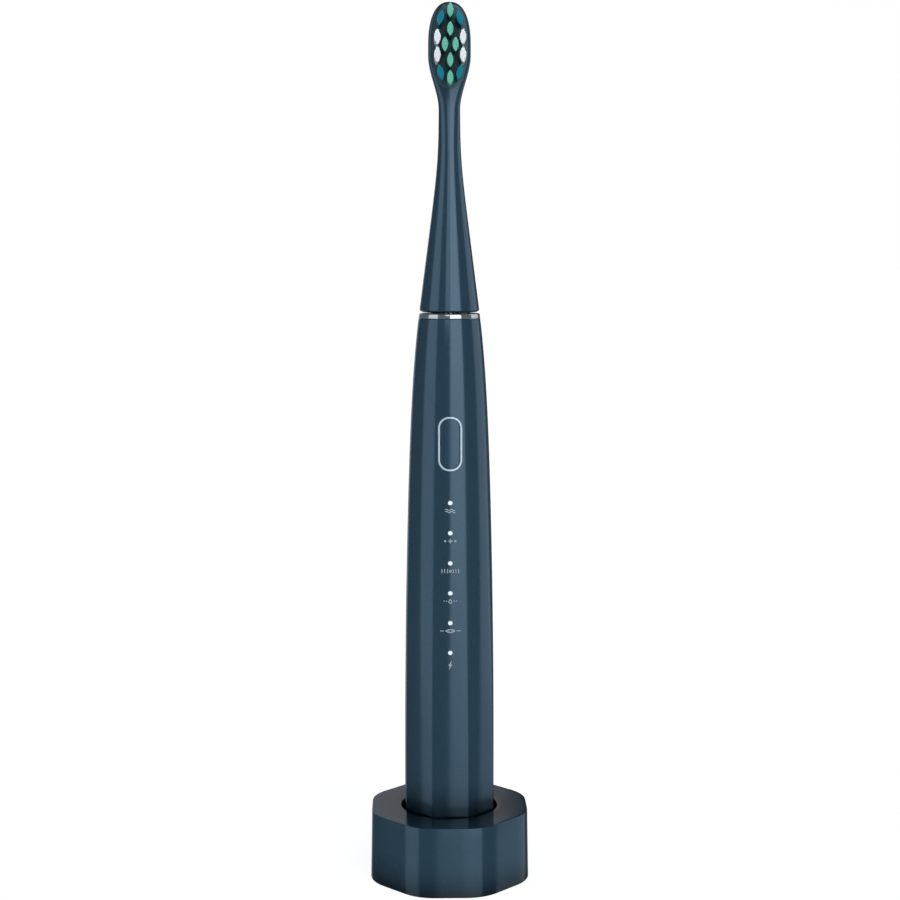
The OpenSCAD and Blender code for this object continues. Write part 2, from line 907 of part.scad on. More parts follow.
// The socket inside the head that slips over the shaft
module head_coupling() {
    low_z = head_foot_z + 2;
    color("#b9bec4")
    difference() {
        union() {
            rod(coupling_r, low_z, socket_top_z + 1);
            rod(neck_radius(low_z + 1.4) - 1.45, low_z, low_z + 1.4);
            for (angle = [0:90:270])
                rotate(angle + 45)
                span([0, -0.5, low_z], [neck_radius(low_z + 12) - 1.5, 0.5, low_z + 12]);
        }
        difference() {
            rod(shaft_r + 0.06, low_z - past, socket_top_z);
            span([-shaft_width, -shaft_width, flat_low_z + 0.3], [shaft_width, flat_y - 0.06, socket_top_z + past]);
        }
        span([-1.1, 0, flat_low_z + 2], [1.1, shaft_width * 2, socket_top_z - 0.8]);
    }
}

// A leaf spring in the back of the socket
module head_clip() {
    leaf_y = shaft_r + 0.25;
    color(steel_colour)
    span([-0.9, leaf_y, flat_low_z + 2.2], [0.9, leaf_y + 0.35, socket_top_z - 1.2]);
}

// ---------------------------------------------------------------- bristles

// Each tuft is [x, height below the tip, width, height, lean in degrees]
function mint_tufts() = [
    for (drop = [3.8, 9.05, 17.75, 22.75]) [0, drop, 1.8, 4.1, 0],
    for (side = [-1, 1]) [side * 1.53, 13.4, 1.8, 4.1, 0]
];

function white_tufts() = [for (side = [-1, 1], drop = [11.3, 16.3]) [side * 3.67, drop, 1.83, 4.65, 0]];

function blue_tufts() = [
    for (side = [-1, 1], end = [-1, 1]) [side * 2.71, 13.55 + end * 7.62, 1.8, 4.2, -side * end * 15]
];

// A tuft's outline is a lens, pointed above and below
module lens(width, height) {
    steps = 8;
    polygon([
        for (side = [1, -1], i = [0:steps - 1])
            let (t = side * (2 * i / steps - 1))
            [side * width / 2 * (1 - t * t), height / 2 * t]
    ]);
}

module tufts(list, grow, inset) {
    for (tuft = list)
        towards_front(tuft_root_y + grow, face_y - bristle_length + inset, head_tip_z - tuft[1])
            translate([tuft[0], 0])
            rotate(tuft[4])
            lens(tuft[2] + 2 * grow, tuft[3] + 2 * grow);
}

module bristles_mint() {
    color("#73c3b4") tufts(mint_tufts(), 0, 0);
}

module bristles_white() {
    color("#eef2f1") tufts(white_tufts(), 0, 0);
}

module bristles_blue() {
    color("#2a93ab") tufts(blue_tufts(), 0, 0.6);
}

// ---------------------------------------------------------------- the object

charger_skirt();
gland_plate();
charger_deck();
well_wall_tube();
well_floor_post();
charger_base_plate();
charger_feet();
charger_screws();
cable_gland();
charger_board();
charger_board_parts();
transmitter_core();
coil_former();
transmitter_coil();
handle_housing();
bottom_cap();
post_sleeve();
sleeve_lid();
cap_seal();
receiver_bobbin();
receiver_coil();
trim_ring();
shaft_seal();
button_bezel();
button_seal();
light_guide();
chassis();
battery_cell();
battery_tabs();
circuit_board();
board_chips();
indicator_leds();
tact_switch_body();
board_screws();
wiring();
motor_can();
motor_front_cap();
motor_rear_cap();
front_bearing();
rear_bearing();
stator_yoke();
coil_bobbin();
motor_coil();
motor_damper();
drive_shaft();
rotor_core();
rotor_magnets();
power_button();
switch_plunger();
brush_head_shell();
head_coupling();
head_clip();
bristles_mint();
bristles_white();
bristles_blue();
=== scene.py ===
"""The looks of an electric toothbrush in its octagonal charging stand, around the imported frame."""

import json
import math
import random

import bpy
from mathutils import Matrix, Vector


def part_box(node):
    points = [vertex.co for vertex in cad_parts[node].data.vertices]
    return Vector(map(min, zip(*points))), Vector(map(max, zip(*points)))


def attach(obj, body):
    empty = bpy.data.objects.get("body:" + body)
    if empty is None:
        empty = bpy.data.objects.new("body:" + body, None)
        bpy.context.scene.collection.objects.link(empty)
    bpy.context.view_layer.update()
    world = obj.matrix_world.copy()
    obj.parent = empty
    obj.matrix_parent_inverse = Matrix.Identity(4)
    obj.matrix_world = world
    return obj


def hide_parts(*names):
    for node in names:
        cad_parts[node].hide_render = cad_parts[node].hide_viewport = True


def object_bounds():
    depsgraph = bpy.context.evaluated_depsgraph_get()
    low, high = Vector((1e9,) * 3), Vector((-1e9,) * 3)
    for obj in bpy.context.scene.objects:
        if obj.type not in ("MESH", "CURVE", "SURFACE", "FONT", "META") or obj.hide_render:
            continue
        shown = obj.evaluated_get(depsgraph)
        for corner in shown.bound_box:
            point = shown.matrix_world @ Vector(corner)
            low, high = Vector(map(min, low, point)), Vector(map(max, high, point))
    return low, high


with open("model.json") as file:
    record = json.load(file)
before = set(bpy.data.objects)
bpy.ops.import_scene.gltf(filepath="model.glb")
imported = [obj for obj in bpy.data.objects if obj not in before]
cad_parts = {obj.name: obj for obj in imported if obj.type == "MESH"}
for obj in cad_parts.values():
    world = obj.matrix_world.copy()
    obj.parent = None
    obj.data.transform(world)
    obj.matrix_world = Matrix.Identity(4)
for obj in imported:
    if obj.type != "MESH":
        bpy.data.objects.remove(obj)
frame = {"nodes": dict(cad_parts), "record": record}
cad_low, cad_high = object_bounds()

MM = 0.001
NODES = frame["nodes"]
TUFT_TIP_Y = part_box("bristles_mint")[0].y / MM
BLUE_TIP_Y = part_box("bristles_blue")[0].y / MM


# ---------------------------------------------------------------- camera

OBJECT_HEIGHT = cad_high.z - cad_low.z
CAMERA_DISTANCE = 512.3 * MM
CAMERA_HEIGHT = 189.1 * MM
CAMERA_AZIMUTH = math.radians(-1.2)
CAMERA_PITCH = math.radians(6.52)
CAMERA_LENS = 68.67
CAMERA_SHIFT = 0.0007


def make_camera():
    """A camera about three quarters of the way up the object, tipped down a little."""
    data = bpy.data.cameras.new("camera")
    data.sensor_width = 36
    data.lens = CAMERA_LENS
    data.shift_x = CAMERA_SHIFT
    data.clip_start = 0.02
    data.clip_end = 20
    camera = bpy.data.objects.new("camera", data)
    bpy.context.collection.objects.link(camera)
    camera.location = (
        CAMERA_DISTANCE * math.sin(CAMERA_AZIMUTH),
        -CAMERA_DISTANCE * math.cos(CAMERA_AZIMUTH),
        CAMERA_HEIGHT,
    )
    camera.rotation_euler = (math.pi / 2 - CAMERA_PITCH, 0, CAMERA_AZIMUTH)
    bpy.context.scene.camera = camera


# ---------------------------------------------------------------- studio


DAYLIGHT = (0.93, 0.97, 1.0)
WARM_LIGHT = (1.0, 0.9, 0.88)
PANEL_TOP = 1.1
PANEL_STAGGER = 0.02


def make_panel(name, azimuth, elevation, distance, width, height, radiance, colour=DAYLIGHT):
    """A soft panel. Azimuth 0 is in front of the object and grows towards its right."""
    turn, rise = math.radians(azimuth), math.radians(elevation)
    aim = Vector((0, 0, OBJECT_HEIGHT / 2))
    away = Vector((math.sin(turn) * math.cos(rise), -math.cos(turn) * math.cos(rise), math.sin(rise)))
    data = bpy.data.lights.new(name, "AREA")
    data.shape = "RECTANGLE"
    data.size = width
    data.size_y = height
    data.energy = radiance * width * height * math.pi
    data.color = colour
    panel = bpy.data.objects.new(name, data)
    bpy.context.collection.objects.link(panel)
    panel.location = aim + away * distance
    panel.rotation_euler = away.to_track_quat("Z", "Y").to_euler()
    panel.visible_camera = False
    return panel


def make_upright_panel(name, azimuth, width, levels):
    """An upright panel a metre away that grows brighter upwards.

    Each level adds light above its height. The levels stand one behind the other, because panels in the
    same plane would hide each other.
    """
    for i, (low, radiance) in enumerate(levels):
        height = PANEL_TOP - low
        middle = (low + PANEL_TOP) / 2 - OBJECT_HEIGHT / 2
        away = 1 + PANEL_STAGGER * i
        elevation = math.degrees(math.atan(middle / away))
        distance = math.hypot(away, middle)
        panel = make_panel(f"{name}_{i}", azimuth, elevation, distance, width, height, radiance)
        panel.rotation_euler = (math.pi / 2, 0, math.radians(azimuth))


def make_world():
    """A white backdrop for the camera, and a dim room for everything that reflects it."""
    world = bpy.data.worlds.new("studio")
    bpy.context.scene.world = world
    world.use_nodes = True
    nodes, links = world.node_tree.nodes, world.node_tree.links
    nodes.clear()
    seen = nodes.new("ShaderNodeBackground")
    seen.inputs["Color"].default_value = (1, 1, 1, 1)
    room = nodes.new("ShaderNodeBackground")
    room.inputs["Color"].default_value = (0.05, 0.06, 0.07, 1)
    path = nodes.new("ShaderNodeLightPath")
    either = nodes.new("ShaderNodeMixShader")
    output = nodes.new("ShaderNodeOutputWorld")
    links.new(path.outputs["Is Camera Ray"], either.inputs[0])
    links.new(room.outputs[0], either.inputs[1])
    links.new(seen.outputs[0], either.inputs[2])
    links.new(either.outputs[0], output.inputs[0])


def make_lights():
    """Panels in front, at both sides and behind. A level is its height in metres and the light it adds."""
    front_levels = [(-0.9, 0.48), (-0.26, 0.16), (-0.16, 0.2), (-0.05, 0.18)]
    front_levels += [(0.1, 0.14), (0.24, 0.16), (0.38, 0.14)]
    make_upright_panel("front_panel", 22.5, 0.8, front_levels)
    make_upright_panel("front_upper", -8.5, 0.28, [(0.36, 0.9)])
    make_upright_panel("left_panel", -65, 0.72, [(-0.9, 0.4), (-0.2, 0.14), (0.2, 0.1)])
    make_upright_panel("right_panel", 111, 0.8, [(-0.9, 0.36), (-0.2, 0.12), (0.2, 0.08)])
    make_upright_panel("back_strip", 200, 0.3, [(-0.7, 0.3), (-0.1, 0.14), (0.25, 0.12)])
    make_panel("back_panel", 190, 22, 1.0, 0.5, 0.6, 0.34, WARM_LIGHT)


def make_floor():
    """A pale floor that fades into the white backdrop a little way from the object."""
    mesh = bpy.data.meshes.new("floor")
    reach = 40
    corners = [(-reach, -reach, 0), (reach, -reach, 0), (reach, reach, 0), (-reach, reach, 0)]
    mesh.from_pydata(corners, [], [(0, 1, 2, 3)])
    floor = bpy.data.objects.new("floor", mesh)
    bpy.context.collection.objects.link(floor)
    floor.visible_glossy = False
    material = bpy.data.materials.new("pale_floor")
    material.use_nodes = True
    shader = material.node_tree.nodes["Principled BSDF"]
    shader.inputs["Base Color"].default_value = (0.5, 0.5, 0.5, 1)
    shader.inputs["Roughness"].default_value = 1.0
    shader.inputs["Specular IOR Level"].default_value = 0.0
    shader.inputs["Emission Color"].default_value = (1, 1, 1, 1)
    nodes, links = material.node_tree.nodes, material.node_tree.links
    where = nodes.new("ShaderNodeTexCoord")
    distance = nodes.new("ShaderNodeVectorMath")
    distance.operation = "LENGTH"
    fade = nodes.new("ShaderNodeMapRange")
    fade.inputs["From Min"].default_value = 0.1
    fade.inputs["From Max"].default_value = 1.2
    fade.inputs["To Min"].default_value = 0.9
    fade.inputs["To Max"].default_value = 1.0
    links.new(where.outputs["Object"], distance.inputs[0])
    links.new(distance.outputs["Value"], fade.inputs["Value"])
    links.new(fade.outputs["Result"], shader.inputs["Emission Strength"])
    mesh.materials.append(material)


# ---------------------------------------------------------------- materials


def surface(name, colour, roughness, metallic=0.0, specular=0.5, tint=None):
    """A Principled material with its even values set on the shader itself."""
    material = bpy.data.materials.new(name)
    material.use_nodes = True
    shader = material.node_tree.nodes["Principled BSDF"]
    shader.inputs["Base Color"].default_value = (*colour, 1)
    shader.inputs["Roughness"].default_value = roughness
    shader.inputs["Metallic"].default_value = metallic
    shader.inputs["Specular IOR Level"].default_value = specular
    if tint:
        shader.inputs["Specular Tint"].default_value = (*tint, 1)
    return material


EVEN = (1, 1, 1)
ALONG = (1, 1, 0.05)
ALONG_BRISTLES = (1, 0.05, 1)
AROUND = (0.2, 0.2, 12)


def noise_node(material, scale, detail, stretch):
    """Noise in the object's own metres, so a scale of 1000 gives grains of about a millimetre."""
    nodes, links = material.node_tree.nodes, material.node_tree.links
    where = nodes.new("ShaderNodeTexCoord")
    mapping = nodes.new("ShaderNodeMapping")
    mapping.inputs["Scale"].default_value = stretch
    noise = nodes.new("ShaderNodeTexNoise")
    noise.inputs["Scale"].default_value = scale
    noise.inputs["Detail"].default_value = detail
    links.new(where.outputs["Object"], mapping.inputs["Vector"])
    links.new(mapping.outputs["Vector"], noise.inputs["Vector"])
    return noise


def vary_colour(material, scale, dark, light, stretch=EVEN):
    """Lets the base colour drift between two tones."""
    nodes, links = material.node_tree.nodes, material.node_tree.links
    noise = noise_node(material, scale, 4.0, stretch)
    ramp = nodes.new("ShaderNodeValToRGB")
    ramp.color_ramp.elements[0].position = 0.3
    ramp.color_ramp.elements[0].color = (*dark, 1)
    ramp.color_ramp.elements[1].position = 0.7
    ramp.color_ramp.elements[1].color = (*light, 1)
    links.new(noise.outputs["Fac"], ramp.inputs["Fac"])
    links.new(ramp.outputs["Color"], nodes["Principled BSDF"].inputs["Base Color"])


def vary_roughness(material, scale, low, high, stretch=EVEN):
    """Lets the roughness drift between two values."""
    nodes, links = material.node_tree.nodes, material.node_tree.links
    noise = noise_node(material, scale, 3.0, stretch)
    spread = nodes.new("ShaderNodeMapRange")
    spread.inputs["From Min"].default_value = 0.3
    spread.inputs["From Max"].default_value = 0.7
    spread.inputs["To Min"].default_value = low
    spread.inputs["To Max"].default_value = high
    links.new(noise.outputs["Fac"], spread.inputs["Value"])
    links.new(spread.outputs["Result"], nodes["Principled BSDF"].inputs["Roughness"])


def add_grain(material, scale, depth, strength, stretch=EVEN):
    """A fine bump, with its depth in metres."""
    nodes, links = material.node_tree.nodes, material.node_tree.links
    noise = noise_node(material, scale, 2.0, stretch)
    bump = nodes.new("ShaderNodeBump")
    bump.inputs["Strength"].default_value = strength
    bump.inputs["Distance"].default_value = depth
    links.new(noise.outputs["Fac"], bump.inputs["Height"])
    links.new(bump.outputs["Normal"], nodes["Principled BSDF"].inputs["Normal"])


def shade(colour, factor):
    """The same colour, lighter or darker."""
    return tuple(channel * factor for channel in colour)


NAVY = (0.041, 0.096, 0.15)
CORNER_REACH = 11 * MM


def paint_contact_shade(material, reach, darkest):
    """Paints shade into the colour where a neighbouring part keeps the light out, within the reach in
    metres.
    """
    nodes, links = material.node_tree.nodes, material.node_tree.links
    base = nodes["Principled BSDF"].inputs["Base Color"]
    open_share = nodes.new("ShaderNodeAmbientOcclusion")
    open_share.samples = 6
    open_share.inputs["Distance"].default_value = reach
    lightness = nodes.new("ShaderNodeMapRange")
    lightness.inputs["From Min"].default_value = 0.45
    lightness.inputs["From Max"].default_value = 0.95
    lightness.inputs["To Min"].default_value = darkest
    scale = nodes.new("ShaderNodeVectorMath")
    scale.operation = "SCALE"
    links.new(open_share.outputs["AO"], lightness.inputs["Value"])
    links.new(base.links[0].from_socket, scale.inputs[0])
    links.new(lightness.outputs["Result"], scale.inputs["Scale"])
    links.new(scale.outputs["Vector"], base)


def navy_plastic():
    """The glossy dark blue plastic of the stand, the handle, the button and the head."""
    material = surface("navy_plastic", NAVY, 0.16, 0.42, 1.0, (0.95, 1.0, 1.0))
    vary_colour(material, 900, shade(NAVY, 0.96), shade(NAVY, 1.04))
    # Painted shade: the base colour darkens near neighbouring parts, such as the handle's foot down in the
    # well.
    paint_contact_shade(material, CORNER_REACH, 0.12)
    vary_roughness(material, 260, 0.14, 0.17)
    add_grain(material, 2600, 0.00001, 0.05)
    return material


def chrome_trim():
    """The polished ring."""
    colour = (0.8, 0.86, 0.89)
    material = surface("chrome_trim", colour, 0.08, 0.9)
    vary_colour(material, 700, shade(colour, 0.97), colour)
    vary_roughness(material, 500, 0.06, 0.1)
    return material


def bezel_silver():
    """The satin silver line round the button."""
    colour = (0.72, 0.88, 1.0)
    material = surface("bezel_silver", colour, 0.18, 0.3, 0.8)
    vary_colour(material, 700, shade(colour, 0.97), colour)
    vary_roughness(material, 500, 0.15, 0.2)
    return material


def light_window():
    """Milky clear plastic with a faint light behind it."""
    colour = (0.8, 0.88, 0.92)
    material = surface("light_window", colour, 0.35, 0.0, 0.5)
    shader = material.node_tree.nodes["Principled BSDF"]
    shader.inputs["Emission Color"].default_value = (0.85, 0.94, 1.0, 1)
    shader.inputs["Emission Strength"].default_value = 0.25
    shader.inputs["Subsurface Weight"].default_value = 0.3
    shader.inputs["Subsurface Scale"].default_value = 0.0004
    vary_colour(material, 1500, shade(colour, 0.95), colour)
    return material


def printed_mark():
    """Grey ink."""
    colour = (0.42, 0.5, 0.56)
    material = surface("printed_mark", colour, 0.45)
    vary_colour(material, 6000, shade(colour, 0.85), shade(colour, 1.15))
    return material


def bristle(name, colour, painted_tip_glow, tip_y, painted_side_shade):
    """Nylon with painted shade darkening the filaments below their tips, and a painted glow at the tips.
    """
    material = surface(name, colour, 0.38, 0.0, 0.5)
    nodes, links = material.node_tree.nodes, material.node_tree.links
    shader = nodes["Principled BSDF"]
    vary_colour(material, 5200, shade(colour, 0.78), shade(colour, 1.06), ALONG_BRISTLES)
    where = nodes.new("ShaderNodeTexCoord")
    parts = nodes.new("ShaderNodeSeparateXYZ")
    depth = nodes.new("ShaderNodeMapRange")
    depth.interpolation_type = "SMOOTHSTEP"
    depth.inputs["From Min"].default_value = (tip_y + 1.3) * MM
    depth.inputs["From Max"].default_value = (tip_y + 0.15) * MM
    links.new(where.outputs["Object"], parts.inputs[0])
    links.new(parts.outputs["Y"], depth.inputs["Value"])
    # Painted shade: the colour falls to a darker share of itself down the filaments, away from the tips.
    side_shade_mix = nodes.new("ShaderNodeMix")
    side_shade_mix.data_type = "RGBA"
    side_shade_mix.inputs["A"].default_value = (*shade(colour, painted_side_shade), 1)
    links.new(depth.outputs["Result"], side_shade_mix.inputs["Factor"])
    links.new(shader.inputs["Base Color"].links[0].from_socket, side_shade_mix.inputs["B"])
    links.new(side_shade_mix.outputs["Result"], shader.inputs["Base Color"])
    # Painted light: the tips glow in the bristle colour, most strongly at the very tip.
    shader.inputs["Emission Color"].default_value = (*colour, 1)
    strength = nodes.new("ShaderNodeMath")
    strength.operation = "MULTIPLY"
    strength.inputs[1].default_value = painted_tip_glow
    links.new(depth.outputs["Result"], strength.inputs[0])
    links.new(strength.outputs[0], shader.inputs["Emission Strength"])
    return material


def plate_plastic():
    """The dark green-blue plastic between the tufts."""
    colour = (0.024, 0.085, 0.105)
    material = surface("tuft_plate", colour, 0.4, 0.25, 0.7)
    vary_colour(material, 1800, shade(colour, 0.75), shade(colour, 1.25))
    vary_roughness(material, 1500, 0.35, 0.48)
    return material


def plain_part(name, colour, roughness, metallic=0.0, grain=1500, depth=0.00003, stretch=EVEN):
    """A moulded, cast, wound or rolled finish for the pieces inside."""
    material = surface(name, colour, roughness, metallic)
    vary_colour(material, grain / 2, shade(colour, 0.86), shade(colour, 1.1), stretch)
    vary_roughness(material, grain, roughness * 0.85, min(1.0, roughness * 1.2), stretch)
    add_grain(material, grain, depth, 0.25, stretch)
    return material


MATERIALS = {
    "navy_plastic": navy_plastic(),
    "chrome_trim": chrome_trim(),
    "bezel_silver": bezel_silver(),
    "light_guide_clear": light_window(),
    "printed_mark": printed_mark(),
    # Each bristle material takes a painted glow for its tips and the share of colour left in the painted
    # shade down its sides.
    "bristle_mint": bristle("bristle_mint", (0.25, 0.74, 0.61), 0.26, TUFT_TIP_Y, 0.28),
    "bristle_white": bristle("bristle_white", (0.85, 0.89, 0.92), 0.36, TUFT_TIP_Y, 0.5),
    "bristle_blue": bristle("bristle_blue", (0.012, 0.36, 0.5), 0.25, BLUE_TIP_Y, 0.32),
    "tuft_plate": plate_plastic(),
    "charger_underside": plain_part("charger_underside", (0.05, 0.062, 0.078), 0.6, 0.0, 3000),
    "shaft_steel": plain_part("shaft_steel", (0.62, 0.63, 0.65), 0.22, 1.0, 2500, 0.00001, AROUND),
    "motor_steel": plain_part("motor_steel", (0.5, 0.51, 0.53), 0.36, 1.0, 1800, 0.00002, AROUND),
    "fastener_steel": plain_part("fastener_steel", (0.56, 0.57, 0.59), 0.3, 1.0, 2600, 0.00002),
    "black_rubber": plain_part("black_rubber", (0.02, 0.021, 0.024), 0.75, 0.0, 4000, 0.00004),
    "seal_silicone": plain_part("seal_silicone", (0.03, 0.045, 0.06), 0.5, 0.0, 3000, 0.00002),
    "bearing_bronze": plain_part("bearing_bronze", (0.5, 0.33, 0.15), 0.42, 1.0, 5000, 0.00003),
    "copper_wire": plain_part("copper_wire", (0.62, 0.24, 0.09), 0.3, 1.0, 900, 0.00012, AROUND),
    "ferrite": plain_part("ferrite", (0.03, 0.03, 0.034), 0.6, 0.0, 3500, 0.00003),
    "spool_plastic": plain_part("spool_plastic", (0.72, 0.72, 0.67), 0.5, 0.0, 2500, 0.00002),
    "frame_plastic": plain_part("frame_plastic", (0.42, 0.44, 0.47), 0.5, 0.0, 2500, 0.00002),
    "coupling_plastic": plain_part("coupling_plastic", (0.6, 0.61, 0.62), 0.42, 0.0, 2500, 0.00002),
    "board_green": plain_part("board_green", (0.012, 0.1, 0.045), 0.32, 0.0, 1400, 0.00003),
    "chip_black": plain_part("chip_black", (0.015, 0.015, 0.017), 0.5, 0.0, 3500, 0.00002),
    "led_amber": plain_part("led_amber", (0.8, 0.72, 0.38), 0.25, 0.0, 2500, 0.00001),
    "battery_wrap": plain_part("battery_wrap", (0.03, 0.25, 0.17), 0.3, 0.0, 600, 0.00002, ALONG),
    "wire_red": plain_part("wire_red", (0.4, 0.03, 0.02), 0.45, 0.0, 2500, 0.00001),
}


def dress_cad_nodes():
    """Every CAD node that stays gets the procedural finish of its record slot."""
    for part in frame["record"]["subparts"]:
        data = NODES[part["node"]].data
        data.materials.clear()
        data.materials.append(MATERIALS[part["material_slot"]])


# ---------------------------------------------------------------- mesh helpers


def add_piece(name, mesh, slot, body, *replaced):
    """Adds a visible piece that rides on a body and stands for the CAD nodes it replaces."""
    piece = bpy.data.objects.new(name, mesh)
    bpy.context.collection.objects.link(piece)
    if not mesh.materials:
        mesh.materials.append(MATERIALS[slot])
    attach(piece, body)
    if replaced:
        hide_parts(*replaced)
    return piece


def smooth_mesh(name, points, faces, sharp_angle=35):
    """A smooth mesh from points in millimetres, with its hard edges kept hard."""
    mesh = bpy.data.meshes.new(name)
    mesh.from_pydata([(x * MM, y * MM, z * MM) for x, y, z in points], [], faces)
    mesh.validate()
    mesh.shade_smooth()
    mesh.set_sharp_from_angle(angle=math.radians(sharp_angle))
    return mesh


def loft(rings, closed=False):
    """Quads through rings of equal length. A closed loft joins the last ring to the first."""
    count = len(rings[0])
    points = [point for ring in rings for point in ring]
    faces = []
    levels = len(rings) if closed else len(rings) - 1
    for level in range(levels):
        low, high = level * count, ((level + 1) % len(rings)) * count
        for i in range(count):
            j = (i + 1) % count
            faces.append((low + i, low + j, high + j, high + i))
    if not closed:
        faces.append(tuple(reversed(range(count))))
        faces.append(tuple(range((len(rings) - 1) * count, len(rings) * count)))
    return points, faces


def mix(a, b, t):
    """The value t of the way from a to b."""
    return a + (b - a) * t


def clamped(t):
    return max(0.0, min(1.0, t))


def smooth(t):
    """A soft step from 0 to 1."""
    t = clamped(t)
    return t * t * (3 - 2 * t)


def steps(low, high, count):
    """Evenly spaced values, with both ends."""
    return [mix(low, high, i / (count - 1)) for i in range(count)]


def box_mm(node):
    """A node's lowest and highest corners at rest, in millimetres."""
    low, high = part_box(node)
    return low / MM, high / MM


# ---------------------------------------------------------------- rounded octagons

CORNER_STEPS = 10
FLAT_STEPS = 6
HALF_SECTOR = math.radians(22.5)


def octagon(apothem, corner, z):
    """A rounded octagon, counterclockwise from +X, with points along its flats too."""
    corner = min(corner, apothem * 0.999)
    reach = (apothem - corner) / math.cos(HALF_SECTOR)
    half_flat = (apothem - corner) * math.tan(HALF_SECTOR)
    ring = []
    for k in range(8):
        face = math.radians(45 * k)
        for i in range(FLAT_STEPS):
            along = mix(-half_flat, half_flat, i / FLAT_STEPS)
            ring.append((
                apothem * math.cos(face) - along * math.sin(face),
                apothem * math.sin(face) + along * math.cos(face),
                z,
            ))
        middle = face + HALF_SECTOR
        for i in range(CORNER_STEPS):
            turn = face + 2 * HALF_SECTOR * i / CORNER_STEPS
            ring.append((
                reach * math.cos(middle) + corner * math.cos(turn),
                reach * math.sin(middle) + corner * math.sin(turn),
                z,
            ))
    return ring


def edge_rings(apothem, corner, z, radius, start, end, count=5):
    """Rings round a small edge whose centre sits radius inside the wall, from one angle to another."""
    rings = []
    for turn in steps(math.radians(start), math.radians(end), count):
        inset = radius - radius * math.cos(turn)
        rings.append(octagon(apothem - inset, corner - inset, z + radius * math.sin(turn)))
    return rings


# ---------------------------------------------------------------- handle

handle_low, handle_high = box_mm("handle_housing")
ring_low, ring_high = box_mm("trim_ring")
bezel_low, bezel_high = box_mm("button_bezel")
leds_low, leds_high = box_mm("indicator_leds")
BUTTON_BACK_Y = box_mm("power_button")[1].y

HANDLE_APOTHEM = (handle_high.x - handle_low.x) / 2
FOOT_Z = handle_low.z
SHOULDER_Z = ring_low.z
TAPER_START_Z = FOOT_Z + 24
TAPER, SHOULDER_TAPER = 2.97, 1.38
FOOT_CORNER = 1.8
FOOT_BULGE = 0.33
ROUND_START_Z = FOOT_Z + 16
ROUND_END_Z = FOOT_Z + 111
HANDLE_WALL = 1.55
FOOT_EDGE = 1.2
TOP_EDGE = 0.3
SPIGOT_R = 7.6


def handle_radius(z):
    """The handle's half width between flats: straight at the foot, then a taper and a shoulder."""
    t = clamped((z - TAPER_START_Z) / (SHOULDER_Z - TAPER_START_Z))
    return HANDLE_APOTHEM - TAPER * t**2 - SHOULDER_TAPER * t**8


def handle_section(z):
    """Half width, side arc radius, corner radius, half sweep of a side and reach of a corner's centre."""
    t = smooth((z - ROUND_START_Z) / (ROUND_END_Z - ROUND_START_Z))
    apothem = handle_radius(z)
    corner = mix(FOOT_CORNER, 0.9 * apothem, t)
    side_r = apothem / mix(FOOT_BULGE, 0.95, t)
    sweep = HALF_SECTOR - math.asin((side_r - apothem) * math.sin(HALF_SECTOR) / (side_r - corner))
    reach = (side_r - corner) * math.sin(sweep) / math.sin(HALF_SECTOR)
    return apothem, side_r, corner, sweep, reach


def handle_ring(z, inset=0.0, lift=0.0):
    """One level of the handle, or of a line inside it at an even inset."""
    apothem, side_r, corner, sweep, reach = handle_section(z)
    ring = []
    for k in range(8):
        face, middle = 2 * HALF_SECTOR * k, 2 * HALF_SECTOR * k + HALF_SECTOR
        for i in range(FLAT_STEPS):
            turn = face + mix(-sweep, sweep, i / FLAT_STEPS)
            ring.append((
                (apothem - side_r) * math.cos(face) + (side_r - inset) * math.cos(turn),
                (apothem - side_r) * math.sin(face) + (side_r - inset) * math.sin(turn),
                z + lift,
            ))
        for i in range(CORNER_STEPS):
            turn = face + mix(sweep, 2 * HALF_SECTOR - sweep, i / CORNER_STEPS)
            ring.append((
                reach * math.cos(middle) + (corner - inset) * math.cos(turn),
                reach * math.sin(middle) + (corner - inset) * math.sin(turn),
                z + lift,
            ))
    return ring


def handle_support(turn, z):
    """How far the section at a height reaches in a direction."""
    apothem, side_r, corner, sweep, reach = handle_section(z)
    from_face = (turn + HALF_SECTOR) % (2 * HALF_SECTOR) - HALF_SECTOR
    if abs(from_face) <= sweep:
        return (apothem - side_r) * math.cos(from_face) + side_r
    return reach * math.cos(HALF_SECTOR - abs(from_face)) + corner


def handle_turn(x, y, z):
    """The direction that the handle's side faces beside a point."""
    apothem, side_r, _, sweep, reach = handle_section(z)
    around = math.atan2(y, x)
    face = 2 * HALF_SECTOR * round(around / (2 * HALF_SECTOR))
    across = y * math.cos(face) - x * math.sin(face)
    along = x * math.cos(face) + y * math.sin(face)
    lean = math.atan2(across, along - (apothem - side_r))
    if abs(lean) <= sweep:
        return face + lean
    side = math.copysign(HALF_SECTOR, lean)
    lean = math.atan2(across - reach * math.sin(side), along - reach * math.cos(side))
    return face + lean


def handle_normal(x, y, z):
    """The true normal of the handle's side near a point."""
    turn = handle_turn(x, y, z)
    slope = (handle_support(turn, z + 0.05) - handle_support(turn, z - 0.05)) / 0.1
    return Vector((math.cos(turn), math.sin(turn), -slope)).normalized()


def handle_front(x, z):
    """The depth of the handle's front face, as a positive distance from the axis."""
    apothem, side_r, corner, sweep, reach = handle_section(z)
    if abs(x) <= side_r * math.sin(sweep):
        return apothem - side_r + math.sqrt(side_r**2 - x**2)
    past_centre = abs(x) - reach * math.sin(HALF_SECTOR)
    return reach * math.cos(HALF_SECTOR) + math.sqrt(max(0.0, corner**2 - past_centre**2))


BUTTON_Z = (bezel_low.z + bezel_high.z) / 2
BEZEL_WIDTH = bezel_high.x - bezel_low.x
BEZEL_HEIGHT = bezel_high.z - bezel_low.z
BEZEL_LINE = 0.55
BEZEL_CORNER = 3.3
LED_R = 0.4
INDICATOR_Z = steps(leds_low.z + LED_R, leds_high.z - LED_R, 6)
INDICATOR_R = 0.675


